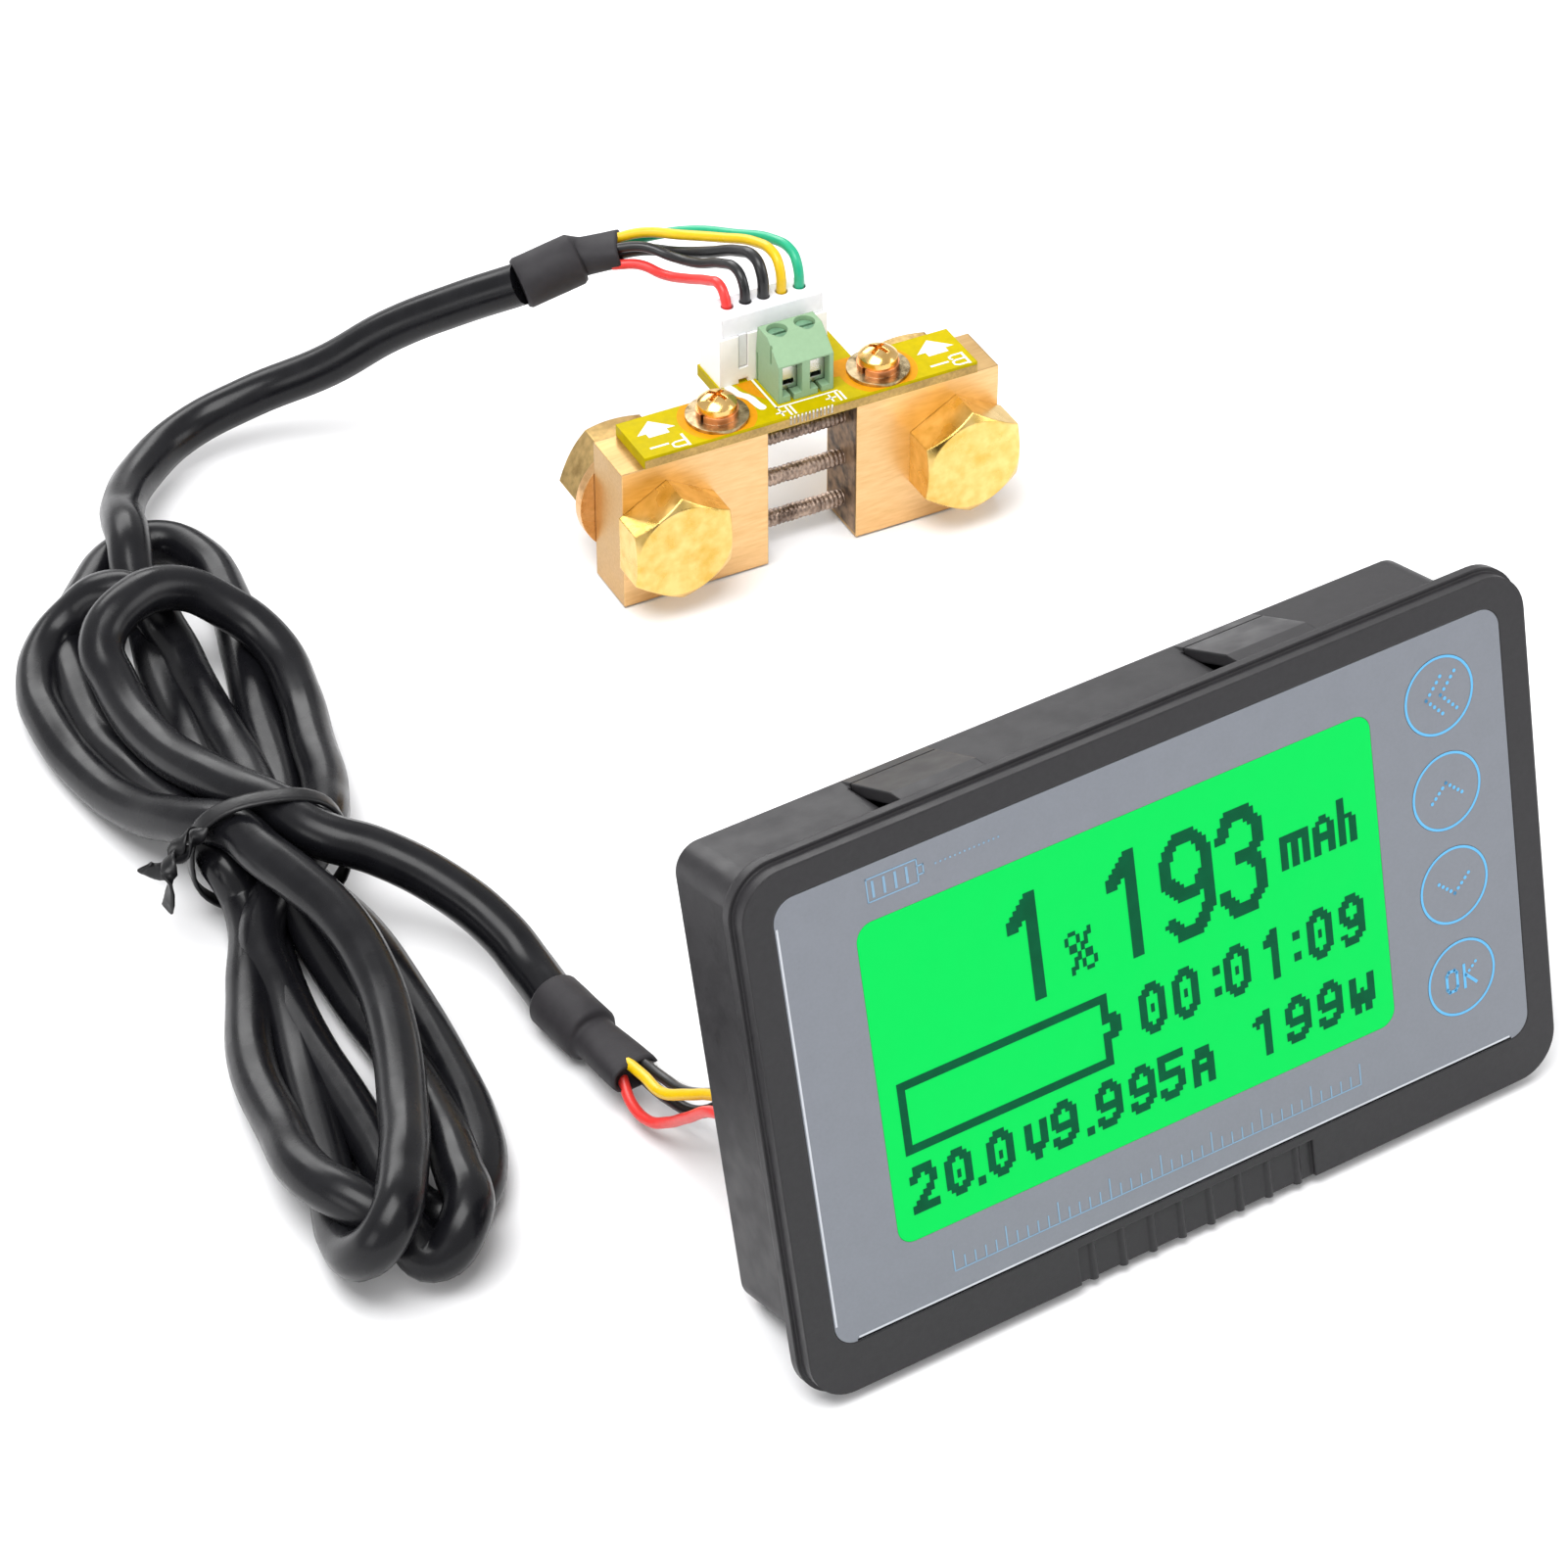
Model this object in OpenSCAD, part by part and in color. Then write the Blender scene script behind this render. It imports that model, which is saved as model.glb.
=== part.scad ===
// Battery capacity monitor: a panel display, the current shunt it reads and the cable between them.
// Millimetres. +Z is up, +X runs along the display's width and +Y from its face towards its back.
// The origin is on the ground, under the middle of the display and the shunt taken together.

/* [Placing] */
// Angle by which the display leans back on its lower edges
meter_lean = 14; // [5:1:25]
// Middle of the display's standing edge, in X
meter_x = -6; // [-40:1:40]
// Middle of the display's standing edge, in Y
meter_y = -71; // [-120:1:0]
// Middle of the shunt's footprint, in X
shunt_x = 26.8; // [-20:0.1:60]
// Middle of the shunt's footprint, in Y
shunt_y = 56.6; // [20:0.1:100]
// Turn of the shunt about the vertical
shunt_yaw = -5.7; // [-45:0.1:45]

/* [Display case] */
// Width of the front flange
flange_w = 99; // [80:0.5:120]
// Height of the front flange
flange_h = 62.5; // [50:0.5:80]
// Thickness of the front flange
flange_t = 3; // [2:0.1:5]
// Corner radius of the front flange
flange_r = 5.5; // [2:0.1:10]
// Thickness of the rear rim that stands proud all round the flange
rim_t = 1.2; // [0.5:0.1:2]
// Amount by which the front of the flange is smaller than its rim
rim_step = 0.5; // [0.1:0.1:1]
// Width of the body that goes through the panel
body_w = 93; // [70:0.5:110]
// Depth of the body behind the flange
body_d = 14.5; // [10:0.5:30]
// Top of the body above the flange's lower edge
body_top = 58.6; // [50:0.1:70]
// Corner radius of the body
body_r = 3; // [1:0.1:6]
// Wall thickness of the body
wall = 2; // [1:0.1:3]
// Thickness of the rear cover
cover_t = 2; // [1:0.1:3]
// Length of the grip recess in the middle of the flange's lower border
grip_l = 31; // [10:1:60]
// Number of ribs in the grip recess
grip_ribs = 8; // [2:1:12]
// Spacing of the ribs in the grip recess
grip_pitch = 3.85; // [2:0.05:6]

/* [Snap clips] */
// Width of each snap clip
clip_w = 10.4; // [5:0.1:20]
// Distance of each clip's middle from the display's middle
clip_x = 21; // [10:0.5:40]
// Height of each clip's ridge above the body
clip_rise = 2.4; // [1:0.1:4]
// Distance of the ridge behind the flange
clip_ridge_y = 4.5; // [3:0.1:8]
// Distance of the clip's free end behind the flange
clip_tip_y = 2.1; // [1:0.1:4]
// Thickness of the clip's tongue
clip_t = 1.4; // [0.8:0.1:2]

/* [Front panel] */
// Width of the grey front overlay
overlay_w = 91; // [70:0.5:110]
// Height of the grey front overlay
overlay_h = 52.5; // [40:0.5:70]
// Lower edge of the overlay above the flange's lower edge
overlay_z = 6.2; // [3:0.1:10]
// Corner radius of the overlay
overlay_r = 2.6; // [1:0.1:5]
// Thickness of the overlay
overlay_t = 0.8; // [0.3:0.1:1.5]
// Width of the display window
window_w = 64.4; // [40:0.1:80]
// Height of the display window
window_h = 37.8; // [20:0.1:50]
// Middle of the display window, in X
window_x = -4.4; // [-20:0.1:20]
// Middle of the display window above the flange's lower edge
window_z = 33.6; // [20:0.1:50]
// Corner radius of the display window
window_r = 2; // [0.5:0.1:4]
// Diameter of each key
key_dia = 9.2; // [6:0.1:12]
// Spacing of the keys
key_pitch = 11.45; // [9:0.05:15]
// Middle of the keys, in X
key_x = 37; // [30:0.1:45]
// Middle of the lowest key above the flange's lower edge
key_z = 16.55; // [10:0.05:25]
// Travel of a key
key_travel = 0.3; // [0.1:0.05:1]

/* [Electronics] */
// Distance of the main board's front behind the flange
board_y = 8.9; // [6:0.1:12]
// Thickness of both circuit boards
board_t = 1.6; // [0.8:0.1:2]
// Number of ways of the cable connectors
ways = 5; // [2:1:8]
// Spacing of the connector pins
pin_pitch = 2.5; // [2:0.5:4]
// Middle of the display's connector, in X
socket_x = -36.3; // [-42:0.1:-20]
// Middle of the display's connector above the flange's lower edge
socket_z = 21; // [12:0.1:40]

/* [Shunt] */
// Length of each brass block
block_l = 20; // [12:0.5:40]
// Depth of each brass block
block_d = 8; // [5:0.5:20]
// Height of each brass block
block_h = 20; // [12:0.5:40]
// Gap between the blocks
block_gap = 12.4; // [6:0.1:30]
// Diameter of each resistance rod
rod_dia = 2.4; // [1:0.1:4]
// Spacing of the rods
rod_pitch = 6.3; // [4:0.1:9]
// Distance of each terminal bolt from its block's outer end
bolt_inset = 6; // [5:0.1:10]
// Thread diameter of the terminal bolts
bolt_dia = 8; // [5:1:12]
// Width across the flats of bolt heads and nuts
hex_af = 13; // [8:1:19]
// Height of the bolt heads
head_h = 5.3; // [3:0.1:8]
// Thickness of the nuts
nut_h = 6.5; // [3:0.1:8]
// Outer diameter of the bolt washers
washer_dia = 16; // [12:0.5:24]
// Thickness of the bolt washers
washer_t = 1.4; // [0.5:0.1:3]
// Length of the shunt's circuit board
sboard_l = 46.2; // [30:0.1:60]
// Depth of the shunt's circuit board along the blocks
sboard_d = 8.2; // [6:0.1:12]
// Distance of each board screw from the shunt's middle
screw_x = 11.2; // [8:0.1:20]
// Diameter of the board screws' flat washers
swasher_dia = 8; // [6:0.1:8.2]
// Diameter of the board screws' spring washers
spring_dia = 5.4; // [4.5:0.1:6]

/* [Wire terminal] */
// Spacing of the terminal's two ways
term_pitch = 3.81; // [2.54:0.01:5.08]
// Height of the terminal above the board
term_h = 8.1; // [7.8:0.1:12]
// Depth of the terminal
term_d = 6.2; // [5:0.1:9]
// Distance of the terminal's front behind the middle of the blocks
term_y = -1.2; // [-3:0.1:2]
// Travel of each wire clamp
clamp_travel = 1.2; // [0.5:0.1:2]

/* [Cable] */
// Outer diameter of the cable
cable_dia = 5.6; // [4:0.1:8]
// Diameter of the sleeves at its ends
sleeve_dia = 6.8; // [5:0.1:10]
// Width of the flattened end of each sleeve
flat_w = 6; // [4:0.1:8]
// Thickness of the flattened end of each sleeve
flat_t = 3.6; // [2:0.1:5]
// Diameter of each wire
wire_dia = 1.3; // [0.8:0.1:2]
// Height of the tied hank
hank_h = 17; // [8:0.5:25]

/* [Hidden] */
$fn = 48;
eps = 0.01;
fit_gap = 0.05;       // between pieces that are fixed together
run_gap = 0.08;       // radial clearance of a moving round piece
slide_gap = 0.1;      // clearance of a moving flat piece
body_z = body_d * tan(meter_lean);
body_h = body_top - body_z;
body_mid = body_z + body_h / 2;
pocket_t = 0.6;       // room behind a key's disc
plate_t = 1.6;        // case plate behind the overlay
plate_y = overlay_t - flange_t;
board_w = 86;
board_h = 48;
lcd_w = window_w + 3;
lcd_h = window_h + 3.6;
glass_t = 1.8;
light_t = 3;
lcd_y = plate_y + plate_t + fit_gap;
frame_wall = 1;       // metal frame round the display glass
frame_end = board_y - 1.3;
switch_size = 4.6;
switch_h = 3.5;
stem_dia = 3.4;
stem_tip_y = 6;
post_r = 2;           // screw posts in the case corners
screw_inset_x = 5;
screw_inset_z = 5;
header_l = ways * pin_pitch + 2.4;
header_d = 5.75;
header_h = 7;
header_wall = 0.9;
plug_out = 2.8;       // part of the plug that stands out of its header
plug_in = 5.4;        // part of the plug inside its header
pin_w = 0.64;
rod_in = 2.8;         // length of each rod inside a block
bolt_z = block_h / 2;
bolt_x = block_gap / 2 + block_l - bolt_inset;
bolt_end = 2.5;       // thread left beyond the nut
hex_r = hex_af / 2 / cos(30);
board_top = block_h + board_t;
sboard_wing_l = 18;
sboard_wing_y = 11.2;
header_x = -0.75;
header_y = 8;
term_w = 2 * term_pitch;
groove = 0.2;         // depth of the upright grooves in the terminal's side
term_x = 0.5;         // middle of the terminal from the shunt's middle
term_mid_y = 3;       // clamp and screw axis behind the middle of the blocks
entry_w = 2.7;
entry_lo = 0.9;
entry_hi = 5.2;
lip_slot = 0.5;       // slot in the floor of each entry
cage_w = 2.9;
cage_y = 0.3;         // front of each wire clamp behind the middle of the blocks
cage_d = 3.9;
cage_h = 4.1;
cage_lo = 0.9;
cage_bar = 0.65;
cage_top_bar = 2.75;
ledge_lo = 5.9;
ledge_t = 0.3;
tscrew_r = 1;
tscrew_head_r = 1.25;
tscrew_head_h = 1.2;
flat_washer_t = 0.5;
spring_t = 0.9;
bscrew_r = 2.5;       // head of each board screw
bscrew_h = 2;
bscrew_dome = 3.4;    // radius of the head's domed top

// Cable routes in the set's own frame, from the sleeve to the hank and from the hank to the sleeve
lead_shunt_route = [
  [7, 90.4, 26], [1, 96, 22], [-6, 102, 17], [-13, 106, 12], [-22, 111, 7.5],
  [-31, 112, 5], [-39, 108, 4.5], [-46, 100, 6], [-50, 92, 8]
];
lead_meter_route = [[-56, 19, 12], [-50, 11, 9], [-47, 4, 6], [-46.5, -6.6, 3.4]];
sleeve_shunt_ends = [[7, 90.4, 26], [14.6, 88.7, 28.2], [19, 85.8, 29.6]];
sleeve_meter_ends = [[-46.5, -6.6, 3.4], [-46.1, -14.5, 3.6], [-45.9, -23.4, 4.6]];
// Wires from the shunt's sleeve, and points short of the display's plug, one list for each way of the plug
shunt_wire_routes = [
  [[17, 84.5, 28.5], [19.6, 82.4, 28.8], [21.2, 79, 28.6], [22, 74.5, 30.2], [22.1, 70, 32.4], [22, 67, 33.4]],
  [[17.2, 85.6, 30.2], [20.6, 83, 30.8], [22.8, 79.6, 30.4], [23.8, 75, 31.6], [24.4, 70.6, 33.8], [24.5, 67, 34.8]],
  [[18, 86.6, 28.4], [21.6, 84.4, 29.2], [24.2, 80.6, 30], [25.6, 75.4, 32.4], [26.8, 70.6, 34.8], [27, 66.8, 35.8]],
  [[18.4, 87.4, 30.2], [21.8, 85, 31.4], [25, 81.2, 32], [27.4, 75.6, 33.8], [29.2, 70.4, 35.4], [29.5, 66.5, 35.8]],
  [[19, 88.6, 28.4], [23, 86, 29.8], [26.8, 81.6, 31.8], [29.6, 75.6, 33.6], [31.6, 70, 35.2], [32, 66.2, 35.4]]
];
// Hank outline as round spots, each [x, y, radius], from its upper loops through the waist to its lower loops
hank_upper = [[-47, 88, 9.5], [-59, 70, 16.5], [-61.5, 33, 8.5]];
hank_lower = [[-63, 25, 8.5], [-70, 3, 13], [-77, -27, 12.5]];
waist = [-62.5, 29, 0];
waist_turn = -11;
waist_w = 17;
waist_h = 15.4;
tie_t = 0.7;
tie_w = 3;

// ---------- helpers ----------

module in_meter() {
  translate([meter_x, meter_y, 0])
    rotate([-meter_lean, 0, 0])
      children();
}

module in_shunt() {
  translate([shunt_x, shunt_y, 0])
    rotate([0, 0, shunt_yaw])
      children();
}

// A plate standing in XZ with round corners: width, height, corner radius, from y0 to y1
module plate(w, h, r, x, z, y0, y1) {
  translate([x, y1, z])
    rotate([90, 0, 0])
      linear_extrude(y1 - y0)
        rounded(w, h, r);
}

module rounded(w, h, r) {
  union() {
    square([w - 2 * r, h], center = true);
    square([w, h - 2 * r], center = true);
    for (sx = [-1, 1], sz = [-1, 1])
      translate([sx * (w / 2 - r), sz * (h / 2 - r)])
        circle(r);
  }
}

// A round bar along Y
module bar_y(r, x, z, y0, y1) {
  translate([x, y1, z])
    rotate([90, 0, 0])
      cylinder(r = r, h = y1 - y0);
}

// A box given by its low corner and its size, centred in X
module block(x, y, z, w, d, h) {
  translate([x - w / 2, y, z])
    cube([w, d, h]);
}

function unit(v) = v / norm(v);
function along(p, i) = unit(p[min(i + 1, len(p) - 1)] - p[max(i - 1, 0)]);
function side_of(t) = unit(cross(t, abs(t[2]) > 0.95 ? [1, 0, 0] : [0, 0, 1]));

// A tube swept along a route, one ring at each of its points
module tube(route, dia, sides = 8) {
  rings = [
    for (i = [0 : len(route) - 1])
      let (t = along(route, i), s = side_of(t), u = cross(s, t))
        for (k = [0 : sides - 1])
          route[i] + dia / 2 * (cos(360 * k / sides) * s + sin(360 * k / sides) * u)
  ];
  last = (len(route) - 1) * sides;
  walls = [
    for (i = [0 : len(route) - 2])
      for (k = [0 : sides - 1])
        [i * sides + k, i * sides + (k + 1) % sides,
         (i + 1) * sides + (k + 1) % sides, (i + 1) * sides + k]
  ];
  polyhedron(
    points = rings,
    faces = concat(
      [[for (k = [0 : sides - 1]) sides - 1 - k]],
      [[for (k = [0 : sides - 1]) last + k]],
      walls
    )
  );
}

// Children standing along the line from a to b, which becomes +Z
module along_line(a, b) {
  d = b - a;
  translate(a)
    rotate([0, acos(d[2] / norm(d)), atan2(d[1], d[0])])
      children();
}

// ---------- display case ----------

function clip_sides() = [[-1, 1], [1, 1], [-1, -1], [1, -1]];

module clip_frame(side) {
  translate([side[0] * clip_x, 0, side[1] > 0 ? body_top : body_z])
    scale([1, 1, side[1]])
      children();
}

module front_case() {
  color("#2e2e31")
    in_meter()
      difference() {
        union() {
          difference() {
            union() {
              plate(flange_w, flange_h, flange_r, 0, flange_h / 2, -rim_t, 0);
              plate(
                flange_w - 2 * rim_step, flange_h - 2 * rim_step, flange_r - rim_step,
                0, flange_h / 2, -flange_t, -rim_t
              );
              plate(body_w, body_h, body_r, 0, body_mid, -rim_t, body_d);
            }
            plate(
              body_w - 2 * wall, body_h - 2 * wall, body_r - wall / 2,
              0, body_mid, plate_y + plate_t, body_d + eps
            );
          }
          for (sx = [-1, 1], sz = [-1, 1])
            bar_y(
              post_r, sx * (body_w / 2 - screw_inset_x), body_mid + sz * (body_h / 2 - screw_inset_z),
              plate_y + plate_t - eps, body_d - cover_t
            );
          for (side = clip_sides())
            clip_frame(side)
              clip_root();
          for (i = [0 : grip_ribs - 1])
            translate([(i - (grip_ribs - 1) / 2) * grip_pitch, -flange_t + 0.7, 0.25])
              cylinder(r = 0.5, h = overlay_z - 1.6);
        }
        plate(
          overlay_w + 2 * fit_gap, overlay_h + 2 * fit_gap, overlay_r, 0, overlay_z + overlay_h / 2,
          -flange_t - eps, plate_y
        );
        plate(window_w, window_h, window_r, window_x, window_z, plate_y - eps, lcd_y);
        for (i = [0 : 3]) {
          bar_y(key_dia / 2 + 0.3, key_x, key_z + i * key_pitch, plate_y - eps, plate_y + pocket_t);
          bar_y(stem_dia / 2 + 0.3, key_x, key_z + i * key_pitch, plate_y - eps, lcd_y);
        }
        for (side = clip_sides())
          clip_frame(side)
            clip_window();
        for (sx = [-1, 1], sz = [-1, 1])
          bar_y(
            1.05, sx * (body_w / 2 - screw_inset_x), body_mid + sz * (body_h / 2 - screw_inset_z),
            4, body_d
          );
        grip_recess();
      }
}

// Shallow recess in the lower border, left open where its ribs stand
module grip_recess() {
  difference() {
    block(0, -flange_t - eps, rim_step - eps, grip_l, 0.5, overlay_z - 1.6);
    for (i = [0 : grip_ribs - 1])
      translate([(i - (grip_ribs - 1) / 2) * grip_pitch, -flange_t + 0.7, 0])
        cylinder(r = 0.5, h = overlay_z);
  }
}

// Fixed start of a clip's ramp, on the wall over the rear cover
module clip_root() {
  ramp = clip_rise * cover_t / (body_d - clip_ridge_y);
  translate([-clip_w / 2, 0, 0])
    rotate([90, 0, 90])
      linear_extrude(clip_w)
        polygon([[body_d, -eps], [body_d - cover_t, ramp], [body_d - cover_t, -eps]]);
}

module clip_window() {
  window_end = body_d - cover_t;
  block(0, clip_tip_y - 0.4, -wall - eps, clip_w + 0.6, window_end - clip_tip_y + 0.4, wall + 2 * eps);
}

module clip_tongue() {
  root_y = body_d - cover_t - 0.25;
  root_z = clip_rise * (body_d - root_y) / (body_d - clip_ridge_y);
  color("#2e2e31")
    translate([-clip_w / 2, 0, 0])
      rotate([90, 0, 90])
        linear_extrude(clip_w)
          polygon([
            [root_y, root_z], [clip_ridge_y, clip_rise], [clip_tip_y, clip_rise - 0.1],
            [clip_tip_y, clip_rise - clip_t], [clip_ridge_y, clip_rise - clip_t], [root_y, root_z - clip_t]
          ]);
}

module snap_clip(side) {
  in_meter()
    clip_frame(side)
      clip_tongue();
}

module rear_cover() {
  color("#2b2b2e")
    in_meter()
      difference() {
        plate(
          body_w - 2 * wall - 2 * fit_gap, body_h - 2 * wall - 2 * fit_gap, body_r - wall / 2,
          0, body_mid, body_d - cover_t, body_d
        );
        block(
          socket_x, body_d - cover_t - eps, socket_z - header_d / 2 - 0.2,
          header_l + 0.4, cover_t + 2 * eps, header_d + 0.4
        );
        for (sx = [-1, 1], sz = [-1, 1]) {
          sx_at = sx * (body_w / 2 - screw_inset_x);
          sz_at = body_mid + sz * (body_h / 2 - screw_inset_z);
          bar_y(1.3, sx_at, sz_at, body_d - cover_t - eps, body_d + eps);
          bar_y(2.3, sx_at, sz_at, body_d - 0.8, body_d + eps);
        }
        for (i = [0 : 5])
          block(18 + i * 4, body_d - cover_t - eps, body_mid - 9, 1.8, cover_t + 2 * eps, 18);
      }
}

module case_screws() {
  color("#8f9094")
    in_meter()
      for (sx = [-1, 1], sz = [-1, 1]) {
        sx_at = sx * (body_w / 2 - screw_inset_x);
        sz_at = body_mid + sz * (body_h / 2 - screw_inset_z);
        difference() {
          union() {
            bar_y(1, sx_at, sz_at, 5, body_d - 0.7);
            bar_y(2, sx_at, sz_at, body_d - 0.75, body_d + 0.3);
          }
          block(sx_at, body_d - 0.3, sz_at - 0.25, 2.6, 1, 0.5);
          block(sx_at, body_d - 0.3, sz_at - 1.3, 0.5, 1, 2.6);
        }
      }
}

// ---------- front panel ----------

module front_overlay() {
  color("#9398a1")
    in_meter()
      difference() {
        plate(overlay_w, overlay_h, overlay_r - fit_gap, 0, overlay_z + overlay_h / 2, -flange_t, plate_y);
        plate(window_w, window_h, window_r, window_x, window_z, -flange_t - eps, plate_y + eps);
        for (i = [0 : 3])
          bar_y(key_dia / 2, key_x, key_z + i * key_pitch, -flange_t - eps, plate_y + eps);
      }
}

module lcd_window() {
  color("#b9ffd0")
    in_meter()
      plate(
        window_w - 2 * fit_gap, window_h - 2 * fit_gap, window_r - fit_gap, window_x, window_z,
        -flange_t, plate_y
      );
}

module lcd_glass() {
  color("#39d96c")
    in_meter()
      plate(lcd_w, lcd_h, 0.5, window_x, window_z, lcd_y, lcd_y + glass_t);
}

module lcd_backlight() {
  color("#f2f2ec")
    in_meter()
      plate(lcd_w, lcd_h, 0.5, window_x, window_z, lcd_y + glass_t + fit_gap, lcd_y + glass_t + light_t);
}

module lcd_frame() {
  color("#3a3b3e")
    in_meter()
      difference() {
        plate(
          lcd_w + 2 * frame_wall, lcd_h + 2 * frame_wall, 1, window_x, window_z, lcd_y, frame_end
        );
        plate(
          lcd_w + 2 * fit_gap, lcd_h + 2 * fit_gap, 0.5, window_x, window_z,
          lcd_y - eps, lcd_y + glass_t + light_t + fit_gap
        );
        plate(lcd_w - 6, lcd_h - 6, 1, window_x, window_z, lcd_y, board_y);
      }
}

module lcd_pins() {
  color("#c9cacc")
    in_meter()
      for (i = [0 : 19])
        translate([window_x + (i - 9.5) * 2.54, 0, window_z + lcd_h / 2 - 4.4])
          block(0, lcd_y + glass_t + light_t + fit_gap, 0, 0.5, board_y + board_t - lcd_y - glass_t - light_t, 0.5);
}

module key(i) {
  color("#9398a1")
    in_meter() {
      bar_y(key_dia / 2 - run_gap, key_x, key_z + i * key_pitch, -flange_t, plate_y);
      bar_y(stem_dia / 2, key_x, key_z + i * key_pitch, plate_y - eps, stem_tip_y);
    }
}

// ---------- electronics ----------

module main_board() {
  color("#1d6b3a")
    in_meter()
      difference() {
        block(0, board_y, body_mid - board_h / 2, board_w, board_t, board_h);
        for (sx = [-1, 1], sz = [-1, 1])
          bar_y(
            post_r + 0.3, sx * (body_w / 2 - screw_inset_x), body_mid + sz * (body_h / 2 - screw_inset_z),
            board_y - 1, board_y + board_t + 1
          );
        for (i = [0 : 19])
          translate([window_x + (i - 9.5) * 2.54, 0, window_z + lcd_h / 2 - 4.4])
            block(0, board_y - 1, -0.1, 0.7, board_t + 2, 0.7);
        for (i = [0 : ways - 1])
          block(
            socket_x + (i - (ways - 1) / 2) * pin_pitch, board_y - 1, socket_z - 0.5,
            1, board_t + 2, 1
          );
      }
}

module board_parts() {
  rear = board_y + board_t;
  color("#1a1a1c")
    in_meter() {
      block(0, rear, body_mid - 5, 10, 1.2, 10);
      block(14, rear, body_mid + 6, 6, 1, 5);
      block(-14, rear, body_mid + 8, 5, 1.3, 4);
      for (i = [0 : 5])
        block(-8 + i * 3.2, rear, body_mid - 12, 1.2, 0.6, 2);
      for (i = [0 : 3])
        block(24 + i * 3, rear, body_mid - 14, 1.6, 0.8, 3.2);
    }
}

module key_switches() {
  color("#202022")
    in_meter()
      for (i = [0 : 3])
        difference() {
          block(
            key_x, board_y - switch_h, key_z + i * key_pitch - switch_size / 2,
            switch_size, switch_h, switch_size
          );
          bar_y(
            stem_dia / 2 + run_gap, key_x, key_z + i * key_pitch,
            board_y - switch_h - eps, stem_tip_y + key_travel + 0.4
          );
        }
}

// A pin header's shroud: open top, base on z = 0, middle of its footprint at the origin
module header_shroud() {
  difference() {
    block(0, -header_d / 2, 0, header_l, header_d, header_h);
    block(
      0, -header_d / 2 + header_wall, 1.2,
      header_l - 2 * header_wall, header_d - 2 * header_wall, header_h
    );
    for (s = [-1, 1])
      block(s * (header_l / 2 - 3.2), -header_d / 2 - eps, 2.2, 1.3, header_wall + 2 * eps, header_h);
    for (s = [-1, 1])
      block(s * (header_l / 2 - 3.2), -header_d / 2 - eps, -eps, 1.3, header_wall + 2 * eps, 0.6);
    for (i = [0 : ways - 1])
      block((i - (ways - 1) / 2) * pin_pitch, -pin_w / 2 - 0.03, -eps, pin_w + 0.06, pin_w + 0.06, 2);
  }
}

module header_pins() {
  for (i = [0 : ways - 1])
    block((i - (ways - 1) / 2) * pin_pitch, -pin_w / 2, -board_t - 1, pin_w, pin_w, board_t + header_h - 0.8);
}

// The plug in its header: the same frame as the shroud
module plug_body() {
  low = header_h - plug_in;
  difference() {
    union() {
      block(
        0, -header_d / 2 + header_wall + slide_gap, low,
        header_l - 2 * header_wall - 2 * slide_gap, header_d - 2 * header_wall - 2 * slide_gap, plug_in
      );
      block(0, -header_d / 2 + 0.3, header_h + fit_gap, header_l - 1, header_d - 1.2, plug_out - fit_gap);
      for (s = [-1, 1])
        block(s * (header_l / 2 - 3.2), -header_d / 2 + 0.15, 2.4, 1.1, header_wall + 0.2, header_h - 2.4 + fit_gap + eps);
      block(
        0, -header_d / 2 + header_wall + slide_gap, header_h - eps,
        header_l - 2 * header_wall - 2 * slide_gap, 3, 1
      );
    }
    for (i = [0 : ways - 1]) {
      px = (i - (ways - 1) / 2) * pin_pitch;
      block(px, -0.45, low - eps, 0.9, 0.9, plug_in);
      translate([px, 0, header_h + plug_out - 1.2])
        cylinder(d = wire_dia + 0.3, h = 2);
    }
  }
}

module at_meter_socket() {
  in_meter()
    translate([socket_x, board_y + board_t, socket_z])
      rotate([-90, 0, 0])
        children();
}

module meter_header() {
  color("#efeee6")
    at_meter_socket()
      header_shroud();
}

module meter_header_pins() {
  color("#c9cacc")
    at_meter_socket()
      header_pins();
}

module meter_plug() {
  color("#e9edf2")
    at_meter_socket()
      plug_body();
}

// ---------- shunt ----------

function side_x(side) = side * bolt_x;
function entry_x(side) = term_x + side * term_pitch / 2;

module brass_block(side) {
  color("#d99a3c")
    in_shunt()
      difference() {
        block(side * (block_gap + block_l) / 2, -block_d / 2, 0, block_l, block_d, block_h);
        bar_y(bolt_dia / 2 + 0.1, side_x(side), bolt_z, -block_d, block_d);
        for (i = [-1 : 1])
          translate([side * (block_gap / 2 - eps), 0, bolt_z + i * rod_pitch])
            rotate([0, side * 90, 0])
              cylinder(d = rod_dia + 0.06, h = rod_in + 0.2);
        translate([side * screw_x, 0, block_h - 6])
          cylinder(r = 1.55, h = 7);
      }
}

module resistor_rods() {
  color("#7d5f4c")
    in_shunt()
      for (i = [-1 : 1])
        translate([-block_gap / 2 - rod_in, 0, bolt_z + i * rod_pitch])
          rotate([0, 90, 0])
            cylinder(d = rod_dia, h = block_gap + 2 * rod_in);
}

module shunt_board() {
  color("#dcc814")
    in_shunt()
      difference() {
        union() {
          block(0, -sboard_d / 2, block_h, sboard_l, sboard_d, board_t);
          block(0.6, 0, block_h, sboard_wing_l, sboard_wing_y, board_t);
        }
        for (side = [-1, 1])
          translate([side * screw_x, 0, block_h - 1])
            cylinder(r = 1.65, h = 4);
        for (i = [0 : ways - 1])
          block(header_x + (i - (ways - 1) / 2) * pin_pitch, header_y - 0.5, block_h - 1, 1, 1, 4);
        for (side = [-1, 1])
          translate([entry_x(side), term_mid_y, block_h - 1])
            cylinder(r = 0.65, h = 4);
      }
}

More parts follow.
